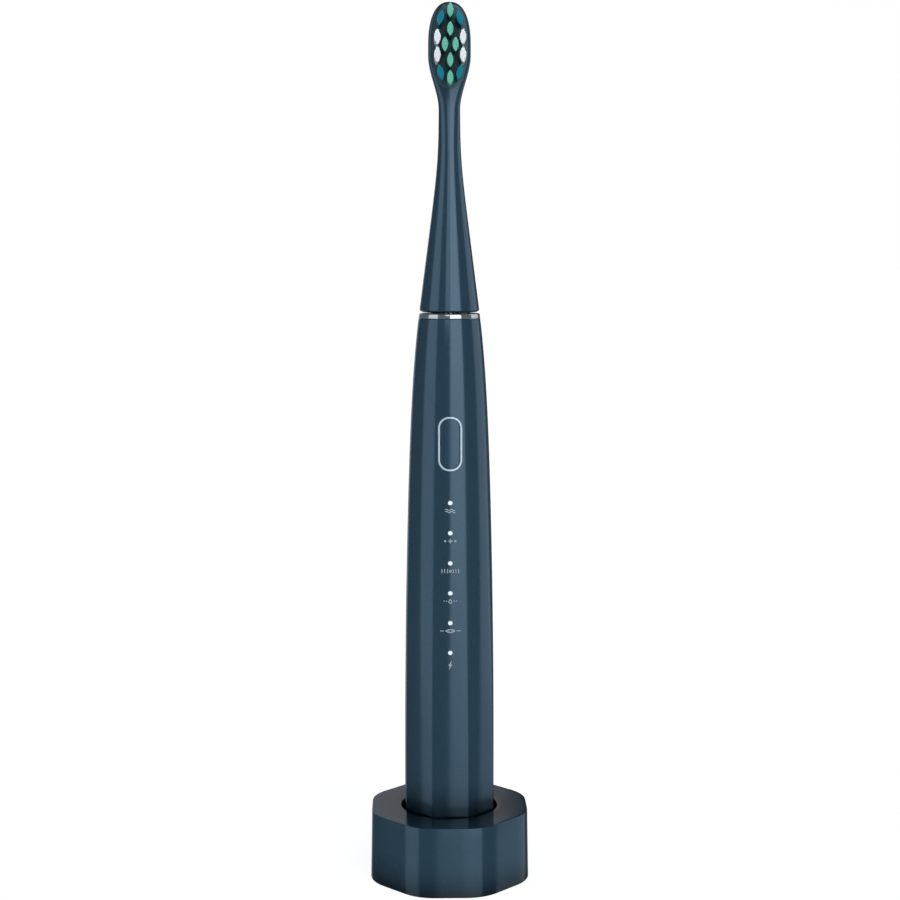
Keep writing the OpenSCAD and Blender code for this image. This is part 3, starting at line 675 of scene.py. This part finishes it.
def rounded_outline(width, height, corner, count=20):
    """A rounded rectangle in X and Z, counterclockwise seen from the front, and its outward directions."""
    outline = []
    corners = [(1, 1, 0), (-1, 1, 90), (-1, -1, 180), (1, -1, 270)]
    for side, up, start in corners:
        for i in range(count + 1):
            turn = math.radians(start + 90 * i / count)
            out = (math.cos(turn), math.sin(turn))
            outline.append((
                side * (width / 2 - corner) + corner * out[0],
                up * (height / 2 - corner) + corner * out[1],
                out[0],
                out[1],
            ))
    dense = []
    longest = 0.7
    for i, (x, z, u, v) in enumerate(outline):
        dense.append((x, z, u, v))
        nx, nz, nu, nv = outline[(i + 1) % len(outline)]
        gap = math.hypot(nx - x, nz - z)
        extra = int(gap / longest)
        for j in range(1, extra + 1):
            t = j / (extra + 1)
            dense.append((mix(x, nx, t), mix(z, nz, t), mix(u, nu, t), mix(v, nv, t)))
    return dense


def cutting_prism(outline, back_y, front_y, centre_z):
    """A closed prism through a wall, used only to cut it."""
    back = [(x, back_y, centre_z + z) for x, z, *_ in outline]
    front = [(x, front_y, centre_z + z) for x, z, *_ in outline]
    points, faces = loft([front, back])
    mesh = bpy.data.meshes.new("cutter")
    mesh.from_pydata([(x * MM, y * MM, z * MM) for x, y, z in points], [], faces)
    cutter = bpy.data.objects.new("cutter", mesh)
    bpy.context.collection.objects.link(cutter)
    return cutter


def cut(piece, cutters):
    """Cuts the piece with each cutter in turn and removes the cutters."""
    for cutter in cutters:
        modifier = piece.modifiers.new("cut", "BOOLEAN")
        modifier.object = cutter
        modifier.operation = "DIFFERENCE"
        modifier.solver = "EXACT"
    depsgraph = bpy.context.evaluated_depsgraph_get()
    mesh = bpy.data.meshes.new_from_object(piece.evaluated_get(depsgraph))
    piece.modifiers.clear()
    piece.data = mesh
    for cutter in cutters:
        bpy.data.objects.remove(cutter)


def circle_outline(radius, count=40):
    """A circle in X and Z, counterclockwise seen from the front."""
    turns = [2 * math.pi * i / count for i in range(count)]
    return [(radius * math.cos(t), radius * math.sin(t)) for t in turns]


def set_true_normals(mesh, surface_gap, normal_at):
    """Gives the faces on the true outer surface its exact normals, so that cuts leave no shading marks."""
    normals = []
    for face in mesh.polygons:
        corners = [mesh.vertices[mesh.loops[i].vertex_index].co / MM for i in face.loop_indices]
        on_surface = all(surface_gap(*corner) < 0.02 for corner in corners)
        true_normals = [normal_at(*corner) for corner in corners] if on_surface else []
        on_surface = on_surface and face.normal.dot(true_normals[0]) > 0.7
        for i, loop in enumerate(face.loop_indices):
            normal = true_normals[i] if on_surface else mesh.corner_normals[loop].vector
            normals.append(tuple(normal))
    mesh.normals_split_custom_set(normals)


def handle_gap(x, y, z):
    """How far a point lies from the handle's side, for heights above its foot edge."""
    if z < FOOT_Z + FOOT_EDGE + 0.1 or z > SHOULDER_Z - TOP_EDGE - 0.05:
        return 1.0
    turn = handle_turn(x, y, z)
    return abs(x * math.cos(turn) + y * math.sin(turn) - handle_support(turn, z))


def make_handle():
    """The hollow shell, with a spigot for the ring at its top and openings for the button and lights."""
    bore_r = 5.0
    cavity_low_z = FOOT_Z + 0.1
    cavity_top_z = SHOULDER_Z - 3.5
    spigot_top_z = ring_high.z - 0.25
    inner_r = HANDLE_APOTHEM - HANDLE_WALL
    rings = [octagon(inner_r, inner_r, cavity_low_z)]
    edge_z = FOOT_Z + FOOT_EDGE
    for turn in steps(-math.pi / 2, 0, 7):
        rings.append(handle_ring(edge_z, FOOT_EDGE * (1 - math.cos(turn)), FOOT_EDGE * math.sin(turn)))
    rings += [handle_ring(z) for z in steps(edge_z, SHOULDER_Z - TOP_EDGE, 170)[1:]]
    for turn in steps(0, math.pi / 2, 6)[1:]:
        inset, lift = TOP_EDGE * (1 - math.cos(turn)), TOP_EDGE * math.sin(turn)
        rings.append(handle_ring(SHOULDER_Z - TOP_EDGE, inset, lift))
    rings += [octagon(r, r, z) for r, z in (
        (SPIGOT_R, SHOULDER_Z),
        (SPIGOT_R, ring_high.z - 0.3),
        (SPIGOT_R - 0.3, spigot_top_z),
        (bore_r, spigot_top_z),
        (bore_r, cavity_top_z),
    )]
    for z in steps(cavity_top_z, cavity_low_z, 24)[:-1]:
        inner_r = handle_radius(z) - HANDLE_WALL
        rings.append(octagon(inner_r, inner_r, z))
    points, faces = loft(rings, closed=True)
    mesh = smooth_mesh("handle_shell", points, faces)
    shell = add_piece("handle_shell", mesh, "navy_plastic", "handle", "handle_housing")
    gap = 0.06
    opening = rounded_outline(BEZEL_WIDTH + 2 * gap, BEZEL_HEIGHT + 2 * gap, BEZEL_CORNER + gap)
    cutters = [cutting_prism(opening, -HANDLE_APOTHEM / 2, -HANDLE_APOTHEM - 2, BUTTON_Z)]
    for z in INDICATOR_Z:
        hole = circle_outline(INDICATOR_R + 0.02)
        cutters.append(cutting_prism(hole, -HANDLE_APOTHEM / 2, -HANDLE_APOTHEM - 2, z))
    cut(shell, cutters)
    set_true_normals(shell.data, handle_gap, handle_normal)


def make_bezel():
    """A thin silver line with a half-round top that follows the handle's front."""
    half = BEZEL_LINE / 2
    depth, lift, crown = 0.9, 0.01, 0.12
    middle = rounded_outline(BEZEL_WIDTH - BEZEL_LINE, BEZEL_HEIGHT - BEZEL_LINE, BEZEL_CORNER - half)
    profile = [(-half, -depth)]
    profile += [(-half * math.cos(t), lift + crown * math.sin(t)) for t in steps(0, math.pi, 9)]
    profile += [(half, -depth)]
    rings = []
    for across, proud in profile:
        ring = []
        for x, z, u, v in middle:
            px, pz = x + across * u, BUTTON_Z + z + across * v
            ring.append((px, -handle_front(px, pz) - proud, pz))
        rings.append(ring)
    points, faces = loft(rings, closed=True)
    mesh = smooth_mesh("button_line", points, faces, 50)
    add_piece("button_line", mesh, "bezel_silver", "handle", "button_bezel")


def make_button():
    """A cap flatter than the handle round it, with a soft edge down into its gap."""
    gap = 0.1
    width = BEZEL_WIDTH - 2 * (BEZEL_LINE + gap)
    height = BEZEL_HEIGHT - 2 * (BEZEL_LINE + gap)
    corner = BEZEL_CORNER - BEZEL_LINE - gap
    flatness = 0.5
    edge = 0.35

    lip = 0.45

    def cap_y(x, z):
        crown = handle_front(0, z) - handle_front(x, z)
        return -handle_front(0, z) + crown * flatness

    stem_y = BUTTON_BACK_Y
    flange = rounded_outline(width + 2 * lip, height + 2 * lip, corner + lip)
    outline = rounded_outline(width, height, corner)
    rings = []
    for outer, y in ((flange, stem_y - 0.2), (flange, stem_y - 0.8), (outline, stem_y - 0.8)):
        rings.append([(x, y, BUTTON_Z + z) for x, z, *_ in outer])
    for depth in (1.9, 1.2, 0.6):
        rings.append([(x, cap_y(x, BUTTON_Z + z) + depth, BUTTON_Z + z) for x, z, *_ in outline])
    for turn in steps(0, math.pi / 2, 8):
        inset = edge * (1 - math.cos(turn))
        depth = edge * (1 - math.sin(turn))
        outline = rounded_outline(width - 2 * inset, height - 2 * inset, corner - inset)
        rings.append([(x, cap_y(x, BUTTON_Z + z) + depth, BUTTON_Z + z) for x, z, *_ in outline])
    outline = rounded_outline(width - 2 * edge, height - 2 * edge, corner - edge)
    for share in steps(0.9, 0.02, 14):
        ring = [(x * share, BUTTON_Z + z * share) for x, z, *_ in outline]
        rings.append([(x, cap_y(x, z), z) for x, z in ring])
    points, faces = loft(rings)
    mesh = smooth_mesh("button_cap", points, faces)
    add_piece("button_cap", mesh, "navy_plastic", "button", "power_button")


def make_indicator_windows():
    """Six clear domes at the front ends of the light guide."""
    points, faces = [], []
    dome = [(INDICATOR_R, -1.2), (INDICATOR_R, -0.03), (0.6, 0.02), (0.4, 0.045), (0.15, 0.06)]
    for z in INDICATOR_Z:
        rings = []
        front = handle_front(0, z)
        for r, proud in dome:
            rings.append([(x, -front - proud, z + up) for x, up in circle_outline(r, 28)])
        ring_points, ring_faces = loft(rings)
        base = len(points)
        points += ring_points
        faces += [tuple(base + i for i in face) for face in ring_faces]
    mesh = smooth_mesh("indicator_windows", points, faces)
    add_piece("indicator_windows", mesh, "light_guide_clear", "handle")


# ---------------------------------------------------------------- printed marks


PRINT_HEIGHT = 0.015
PRINT_LINE = 0.24
MARK_DROP = 2.35
BOLT_DROP = 3.7


def stroke(points, faces, path, width):
    """Adds a flat ribbon along a path in X and Z, laid on the front of the handle."""
    count = len(path)
    base = len(points)
    for i, (x, z) in enumerate(path):
        ax, az = path[max(i - 1, 0)]
        bx, bz = path[min(i + 1, count - 1)]
        length = math.hypot(bx - ax, bz - az)
        nx, nz = -(bz - az) / length, (bx - ax) / length
        for side in (-0.5, 0.5):
            px, pz = x + nx * side * width, z + nz * side * width
            points.append((px, -handle_front(px, pz) - PRINT_HEIGHT, pz))
    for i in range(count - 1):
        a, b = base + 2 * i, base + 2 * (i + 1)
        faces.append((a, b, b + 1, a + 1))


def arc_path(cx, cz, radius, start, end, count):
    """Points along an arc in X and Z, between two angles in degrees."""
    return [
        (cx + radius * math.cos(t), cz + radius * math.sin(t))
        for t in steps(math.radians(start), math.radians(end), count)
    ]


def wave_mark(cz):
    """Two soft waves."""
    return [
        [(x, cz + up + 0.22 * math.sin(x * 4.1)) for x in steps(-1.5, 1.5, 30)]
        for up in (-0.3, 0.3)
    ]


def sparkle_mark(cz):
    """A small four-pointed sparkle between two dots."""
    star = []
    for i in range(8):
        r = 0.65 if i % 2 == 0 else 0.2
        star.append((r * math.cos(math.pi * i / 4), cz + r * math.sin(math.pi * i / 4)))
    dots = [arc_path(side * 1.5, cz, 0.2, 0, 360, 14) for side in (-1, 1)]
    return [star + [star[0]]] + dots


def pulse_mark(cz):
    """Rings that spread from the middle."""
    paths = [arc_path(0, cz, 0.3, 0, 360, 18)]
    for side in (0, 180):
        for radius in (0.9, 1.7, 2.5):
            spread = math.degrees(math.asin(0.6 / radius))
            paths.append(arc_path(0, cz, radius, side - spread, side + spread, 12))
    return paths


def shine_mark(cz):
    """A drop between rays."""
    drop = [(0, cz + 0.65)] + arc_path(0, cz - 0.2, 0.42, 35, -215, 20) + [(0, cz + 0.65)]
    rays = [
        [(side * low, cz), (side * high, cz)]
        for side in (-1, 1)
        for low, high in ((0.9, 1.3), (1.6, 2.0))
    ]
    return [drop] + rays


def leaf_mark(cz):
    """A leaf with a dash on each side."""
    half = 1.4
    upper = [(x, cz + 0.5 * math.cos(x / half * math.pi / 2)) for x in steps(-half, half, 20)]
    lower = [(x, cz - 0.5 * math.cos(x / half * math.pi / 2)) for x in steps(half, -half, 20)]
    dashes = [[(side * 1.9, cz), (side * 3.0, cz)] for side in (-1, 1)]
    return [upper + lower, [(-0.9, cz), (0.9, cz)]] + dashes


def add_bolt(points, faces, cz):
    """The usual charging bolt, as two solid wedges, just proud of the other marks."""
    height = PRINT_HEIGHT + 0.005
    wedges = [
        [(0.42, 1.45), (-0.62, -0.18), (0.05, -0.18), (0.2, 0.3)],
        [(-0.42, -1.45), (0.62, 0.18), (-0.05, 0.18), (-0.2, -0.3)],
    ]
    for wedge in wedges:
        base = len(points)
        for x, up in wedge:
            points.append((x, -handle_front(x, cz + up) - height, cz + up))
        faces.append(tuple(range(base, base + 4)))


def make_printed_marks():
    """A plain pictogram under each light."""
    points, faces = [], []
    marks = (wave_mark, sparkle_mark, pulse_mark, shine_mark, leaf_mark)
    for z, mark in zip(reversed(INDICATOR_Z), marks):
        for path in mark(z - MARK_DROP):
            stroke(points, faces, path, PRINT_LINE)
    add_bolt(points, faces, INDICATOR_Z[0] - BOLT_DROP)
    mesh = smooth_mesh("printed_marks", points, faces)
    add_piece("printed_marks", mesh, "printed_mark", "handle")


# ---------------------------------------------------------------- chrome ring


def circle_ring(r, z, count):
    """A circle round the Z axis."""
    turns = [2 * math.pi * i / count for i in range(count)]
    return [(r * math.cos(turn), r * math.sin(turn), z) for turn in turns]


def make_trim_ring():
    """The ring between the handle and the head, with a small edge below and a rounder one above."""
    outer = ring_high.x
    inner = SPIGOT_R + 0.05
    edge = 0.2
    profile = [(inner, ring_low.z), (outer - edge, ring_low.z)]
    profile += [
        (outer - edge + edge * math.sin(t), ring_low.z + edge - edge * math.cos(t))
        for t in steps(0, math.pi / 2, 6)[1:]
    ]
    top_edge = 0.35
    top_r = outer - 0.15
    profile += [
        (top_r - top_edge + top_edge * math.cos(t), ring_high.z - top_edge + top_edge * math.sin(t))
        for t in steps(0, math.pi / 2, 8)
    ]
    profile += [(inner, ring_high.z)]
    points, faces = loft([circle_ring(r, z, 128) for r, z in profile], closed=True)
    mesh = smooth_mesh("chrome_ring", points, faces, 40)
    add_piece("chrome_ring", mesh, "chrome_trim", "handle", "trim_ring")


# ---------------------------------------------------------------- brush head

head_low, head_high = box_mm("brush_head_shell")
HEAD_FOOT_Z = head_low.z
HEAD_TIP_Z = head_high.z + 0.05
NECK_WIDTH = 6.4
HEAD_WIDTH = 12.5
HEAD_FOOT_WIDTH = head_high.x - head_low.x
NECK_END_Z = HEAD_TIP_Z - 31
OVAL_START_Z = HEAD_TIP_Z - 15.3
OVAL_END_Z = HEAD_TIP_Z - 12.8
FACE_Y = -2.2
RIM = 1.0
FACE_POWER = 0.46
PLATE_PROUD = 0.04
FIELD_LOW = 21.0
FIELD_END = 25.2
FIELD_MIDDLE = 12.5
HEAD_STEPS = 112


def neck_radius(z):
    """A cone that bends softly into a straight neck."""
    bend, start_z = 4.47, HEAD_FOOT_Z + 45.2
    return NECK_WIDTH / 2 - 0.055 + 0.129 * bend * math.log(1 + math.exp((start_z - z) / bend))


def tip_round(z):
    """How the oval closes towards its tip."""
    u = clamped((z - OVAL_END_Z) / (HEAD_TIP_Z - OVAL_END_Z))
    return max(0.0, 1 - u**2.42) ** (1 / 2.42)


def oval_share(z):
    """0 on the round neck and 1 on the oval."""
    return smooth((z - NECK_END_Z) / (OVAL_START_Z - NECK_END_Z))


def head_half_width(z):
    return mix(neck_radius(z), HEAD_WIDTH / 2, oval_share(z)) * tip_round(z)


def head_front(z):
    flat_share = smooth((z - NECK_END_Z + 12) / 16)
    return mix(neck_radius(z), -FACE_Y, flat_share) * tip_round(z) ** 0.3


def head_back(z):
    return mix(neck_radius(z), 2.7, oval_share(z)) * tip_round(z) ** 0.6


def head_ring(z):
    """One level of the head: round behind, and nearly flat in front once it is the oval."""
    ring = []
    for i in range(HEAD_STEPS):
        turn = 2 * math.pi * i / HEAD_STEPS
        power = mix(1, 0.7 if math.sin(turn) > 0 else FACE_POWER, oval_share(z))
        across = math.copysign(abs(math.cos(turn)) ** power, math.cos(turn))
        along = math.copysign(abs(math.sin(turn)) ** power, math.sin(turn))
        depth = head_back(z) if along > 0 else head_front(z)
        ring.append((head_half_width(z) * across, depth * along, z))
    return ring


def field_outline():
    """The outline of the bristle field in X and Z: the oval's edge moved in, closed by an arc below."""
    side = []
    for drop in steps(FIELD_LOW, RIM, 60):
        z = HEAD_TIP_Z - drop
        lean = (head_half_width(z + 0.02) - head_half_width(z - 0.02)) / 0.04
        length = math.hypot(1, lean)
        side.append((head_half_width(z) - RIM / length, z + RIM * lean / length))
    side = [(x, z) for x, z in side if x > 0.15 and z < HEAD_TIP_Z - RIM]
    low_x, low_z = side[0]
    arc = [
        (low_x * math.cos(t), low_z - (FIELD_END - FIELD_LOW) * math.sin(t))
        for t in steps(math.pi, 0, 31)
    ]
    left = [(-x, z) for x, z in reversed(side)]
    return arc[:-1] + side + [(0, HEAD_TIP_Z - RIM)] + left[:-1]


def head_face_y(x, z):
    """Where the surface of the head's face is at a point of the oval."""
    power = mix(1, FACE_POWER, oval_share(z))
    share = clamped(abs(x) / head_half_width(z))
    return -head_front(z) * (1 - share ** (2 / power)) ** (power / 2)


def make_tuft_plate():
    """The dark plate the bristle tufts stand in, let into the head's face."""
    outline = field_outline()
    middle_z = HEAD_TIP_Z - FIELD_MIDDLE
    levels = [(1.0, 0.4)] + [(share, -PLATE_PROUD) for share in steps(1.0, 0.02, 18)]
    rings = []
    for share, depth in levels:
        ring = [(x * share, middle_z + (z - middle_z) * share) for x, z in outline]
        rings.append([(x, head_face_y(x, z) + depth, z) for x, z in ring])
    points, faces = loft(rings)
    mesh = smooth_mesh("tuft_plate", points, faces)
    add_piece("tuft_plate", mesh, "tuft_plate", "brush_head")


def make_head():
    """The head from its socket and foot edge, up the neck, to the tip of the oval."""
    wall = 1.3
    chamfer_z = HEAD_FOOT_Z + 0.6
    socket_top_z = box_mm("head_coupling")[1].z + 0.7
    foot_r = HEAD_FOOT_WIDTH / 2
    profile = [(0.05, socket_top_z)]
    profile += [(neck_radius(z) - wall, z) for z in steps(socket_top_z, HEAD_FOOT_Z + 0.1, 12)]
    for inset, up in ((0.85, 0), (0.7, 0.02), (0.35, 0.25), (0.1, 0.48)):
        profile.append((foot_r - inset, HEAD_FOOT_Z + up))
    rings = [circle_ring(r, z, HEAD_STEPS) for r, z in profile]
    rings += [head_ring(z) for z in steps(chamfer_z, NECK_END_Z, 70)]
    rings += [head_ring(z) for z in steps(NECK_END_Z, OVAL_END_Z, 50)[1:]]
    for turn in steps(0, math.radians(89.2), 37)[1:]:
        rings.append(head_ring(mix(OVAL_END_Z, HEAD_TIP_Z, math.sin(turn))))
    points, faces = loft(rings)
    mesh = smooth_mesh("head_shell", points, faces, 40)
    add_piece("head_shell", mesh, "navy_plastic", "brush_head", "brush_head_shell")


# ---------------------------------------------------------------- bristles

FILAMENT_R = 0.085
FILAMENT_PITCH = 0.195
ROW_SHARE = 0.866
TUFT_ROOT_Y = FACE_Y + 0.6


def mint_tufts():
    """Each tuft as its X, its drop below the tip, its width, its height and its lean in degrees."""
    centre = [(0, drop, 1.8, 4.1, 0) for drop in (3.8, 9.05, 17.75, 22.75)]
    return centre + [(side * 1.53, 13.4, 1.8, 4.1, 0) for side in (-1, 1)]


def white_tufts():
    return [(side * 3.67, drop, 1.83, 4.65, 0) for side in (-1, 1) for drop in (11.3, 16.3)]


def blue_tufts():
    middle_drop = 13.55
    return [
        (side * 2.71, middle_drop + end * 7.62, 1.8, 4.2, -side * end * 15)
        for side in (-1, 1)
        for end in (-1, 1)
    ]


def filament(points, faces, root, tip, bend):
    """One nylon filament with a rounded end, from its root to its tip."""
    sides = 6
    base = len(points)
    turns = [2 * math.pi * i / sides for i in range(sides)]
    profile = [(0, 1.0), (0.35, 1.0), (0.7, 1.0), (0.982, 1.0), (0.993, 0.8), (0.9985, 0.45)]
    for share, width in profile:
        x = mix(root[0], tip[0], share) + bend[0] * share * share
        z = mix(root[2], tip[2], share) + bend[1] * share * share
        y = mix(root[1], tip[1], share)
        r = FILAMENT_R * width
        points += [(x + r * math.cos(turn), y, z + r * math.sin(turn)) for turn in turns]
    for level in range(len(profile) - 1):
        for i in range(sides):
            j = (i + 1) % sides
            low, high = base + level * sides, base + (level + 1) * sides
            faces.append((low + i, low + j, high + j, high + i))
    faces.append(tuple(base + i for i in reversed(range(sides))))
    last = base + (len(profile) - 1) * sides
    faces.append(tuple(last + i for i in range(sides)))


def make_tufts(name, tufts, slot, node, tip_y, seed):
    """Lens-shaped tufts of close-packed filaments, each a little off its place."""
    dice = random.Random(seed)
    points, faces = [], []
    for x0, drop, width, height, lean in tufts:
        z0 = HEAD_TIP_Z - drop
        turn = math.radians(lean)
        rows = int(height / FILAMENT_PITCH / ROW_SHARE) + 2
        columns = int(width / FILAMENT_PITCH) + 2
        for row in range(-rows // 2, rows // 2 + 1):
            for column in range(-columns // 2, columns // 2 + 1):
                u = (column + 0.5 * (row % 2)) * FILAMENT_PITCH + dice.uniform(-0.02, 0.02)
                v = row * FILAMENT_PITCH * ROW_SHARE + dice.uniform(-0.02, 0.02)
                lens = width / 2 * (1 - (2 * v / height) ** 2)
                if abs(v) > height / 2 or abs(u) > lens - FILAMENT_R * 0.4:
                    continue
                x = x0 + u * math.cos(turn) - v * math.sin(turn)
                z = z0 + u * math.sin(turn) + v * math.cos(turn)
                splay = (0.03 * u + dice.uniform(-0.03, 0.03), 0.02 * v + dice.uniform(-0.03, 0.03))
                tip = (x, tip_y + abs(dice.gauss(0, 0.05)), z)
                filament(points, faces, (x, TUFT_ROOT_Y, z), tip, splay)
    mesh = smooth_mesh(name, points, faces, 60)
    add_piece(name, mesh, slot, "brush_head", node)


def make_bristles():
    make_tufts("tufts_mint", mint_tufts(), "bristle_mint", "bristles_mint", TUFT_TIP_Y, 11)
    make_tufts("tufts_white", white_tufts(), "bristle_white", "bristles_white", TUFT_TIP_Y, 12)
    make_tufts("tufts_blue", blue_tufts(), "bristle_blue", "bristles_blue", BLUE_TIP_Y, 13)


# ---------------------------------------------------------------- charging stand

stand_low, stand_high = box_mm("charger_skirt")
STAND_APOTHEM = (stand_high.x - stand_low.x) / 2
STAND_DRAFT = 0.36
STAND_CORNER = 12.9
STAND_TOP_Z = box_mm("charger_deck")[1].z
STAND_FOOT_Z = stand_low.z
STAND_WALL = 1.8
WELL_FLOOR_Z = FOOT_Z - 0.05
WELL_SKIN = 1.4
WELL_R = box_mm("well_floor_post")[1].x - WELL_SKIN
POST_R = 3.6
POST_BORE_R = 2.45
POST_TOP_Z = box_mm("well_floor_post")[1].z
GLAND_COLLAR_R = 3.55


def make_stand():
    """The stand as one moulding: its skirt, deck and well, with a round opening for the cable gland."""
    top = STAND_APOTHEM - STAND_DRAFT
    room = top - STAND_WALL
    foot_edge, top_edge, lip_edge = 0.2, 0.22, 0.3
    deck_z = STAND_TOP_Z - 2
    rings = [octagon(room, STAND_CORNER - STAND_WALL, STAND_FOOT_Z)]
    rings += edge_rings(STAND_APOTHEM, STAND_CORNER, STAND_FOOT_Z + foot_edge, foot_edge, -90, 0)
    for t in steps(0, 1, 8)[1:]:
        z = mix(STAND_FOOT_Z + foot_edge, STAND_TOP_Z - top_edge, t)
        rings.append(octagon(mix(STAND_APOTHEM, top, t), STAND_CORNER, z))
    rings += edge_rings(top, STAND_CORNER, STAND_TOP_Z - top_edge, top_edge, 0, 90, 7)[1:]
    inner = WELL_R + lip_edge
    for t in steps(0, 1, 12)[1:-1]:
        apothem = mix(top - top_edge, inner, t)
        rings.append(octagon(apothem, mix(STAND_CORNER - top_edge, inner, t), STAND_TOP_Z))
    for turn in steps(0, math.pi / 2, 6):
        r = WELL_R + lip_edge * (1 - math.sin(turn))
        rings.append(octagon(r, r, STAND_TOP_Z - lip_edge * (1 - math.cos(turn))))
    rings += [octagon(WELL_R, WELL_R, z) for z in steps(STAND_TOP_Z - lip_edge, WELL_FLOOR_Z + 0.3, 6)[1:]]
    rings += [octagon(r, r, z) for r, z in (
        (WELL_R - 0.3, WELL_FLOOR_Z),
        (9.0, WELL_FLOOR_Z),
        (POST_R + 0.3, WELL_FLOOR_Z),
        (POST_R, WELL_FLOOR_Z + 0.3),
        (POST_R, POST_TOP_Z - 0.4),
        (POST_R - 0.4, POST_TOP_Z),
        (0.1, POST_TOP_Z),
        (0.1, POST_TOP_Z - 1),
        (POST_BORE_R, POST_TOP_Z - 1),
        (POST_BORE_R, WELL_FLOOR_Z - WELL_SKIN),
        (WELL_R + WELL_SKIN, WELL_FLOOR_Z - WELL_SKIN),
        (WELL_R + WELL_SKIN, deck_z),
    )]
    rings += [octagon(room, STAND_CORNER - STAND_WALL, z) for z in (deck_z, STAND_FOOT_Z + 2)]
    points, faces = loft(rings, closed=True)
    mesh = smooth_mesh("stand_shell", points, faces, 40)
    replaced = ("charger_skirt", "gland_plate", "charger_deck", "well_wall_tube", "well_floor_post")
    stand = add_piece("stand_shell", mesh, "navy_plastic", "charger", *replaced)
    gland_low, gland_high = box_mm("cable_gland")
    gland_z = (gland_low.z + gland_high.z) / 2
    opening = circle_outline(GLAND_COLLAR_R, 64)
    cut(stand, [cutting_prism(opening, STAND_APOTHEM + 1, room - 0.5, gland_z)])


# ---------------------------------------------------------------- build

make_camera()
make_world()
make_lights()
make_floor()
dress_cad_nodes()
make_handle()
make_bezel()
make_button()
make_indicator_windows()
make_printed_marks()
make_trim_ring()
make_head()
make_tuft_plate()
make_bristles()
make_stand()

bpy.context.scene.view_settings.view_transform = "Standard"
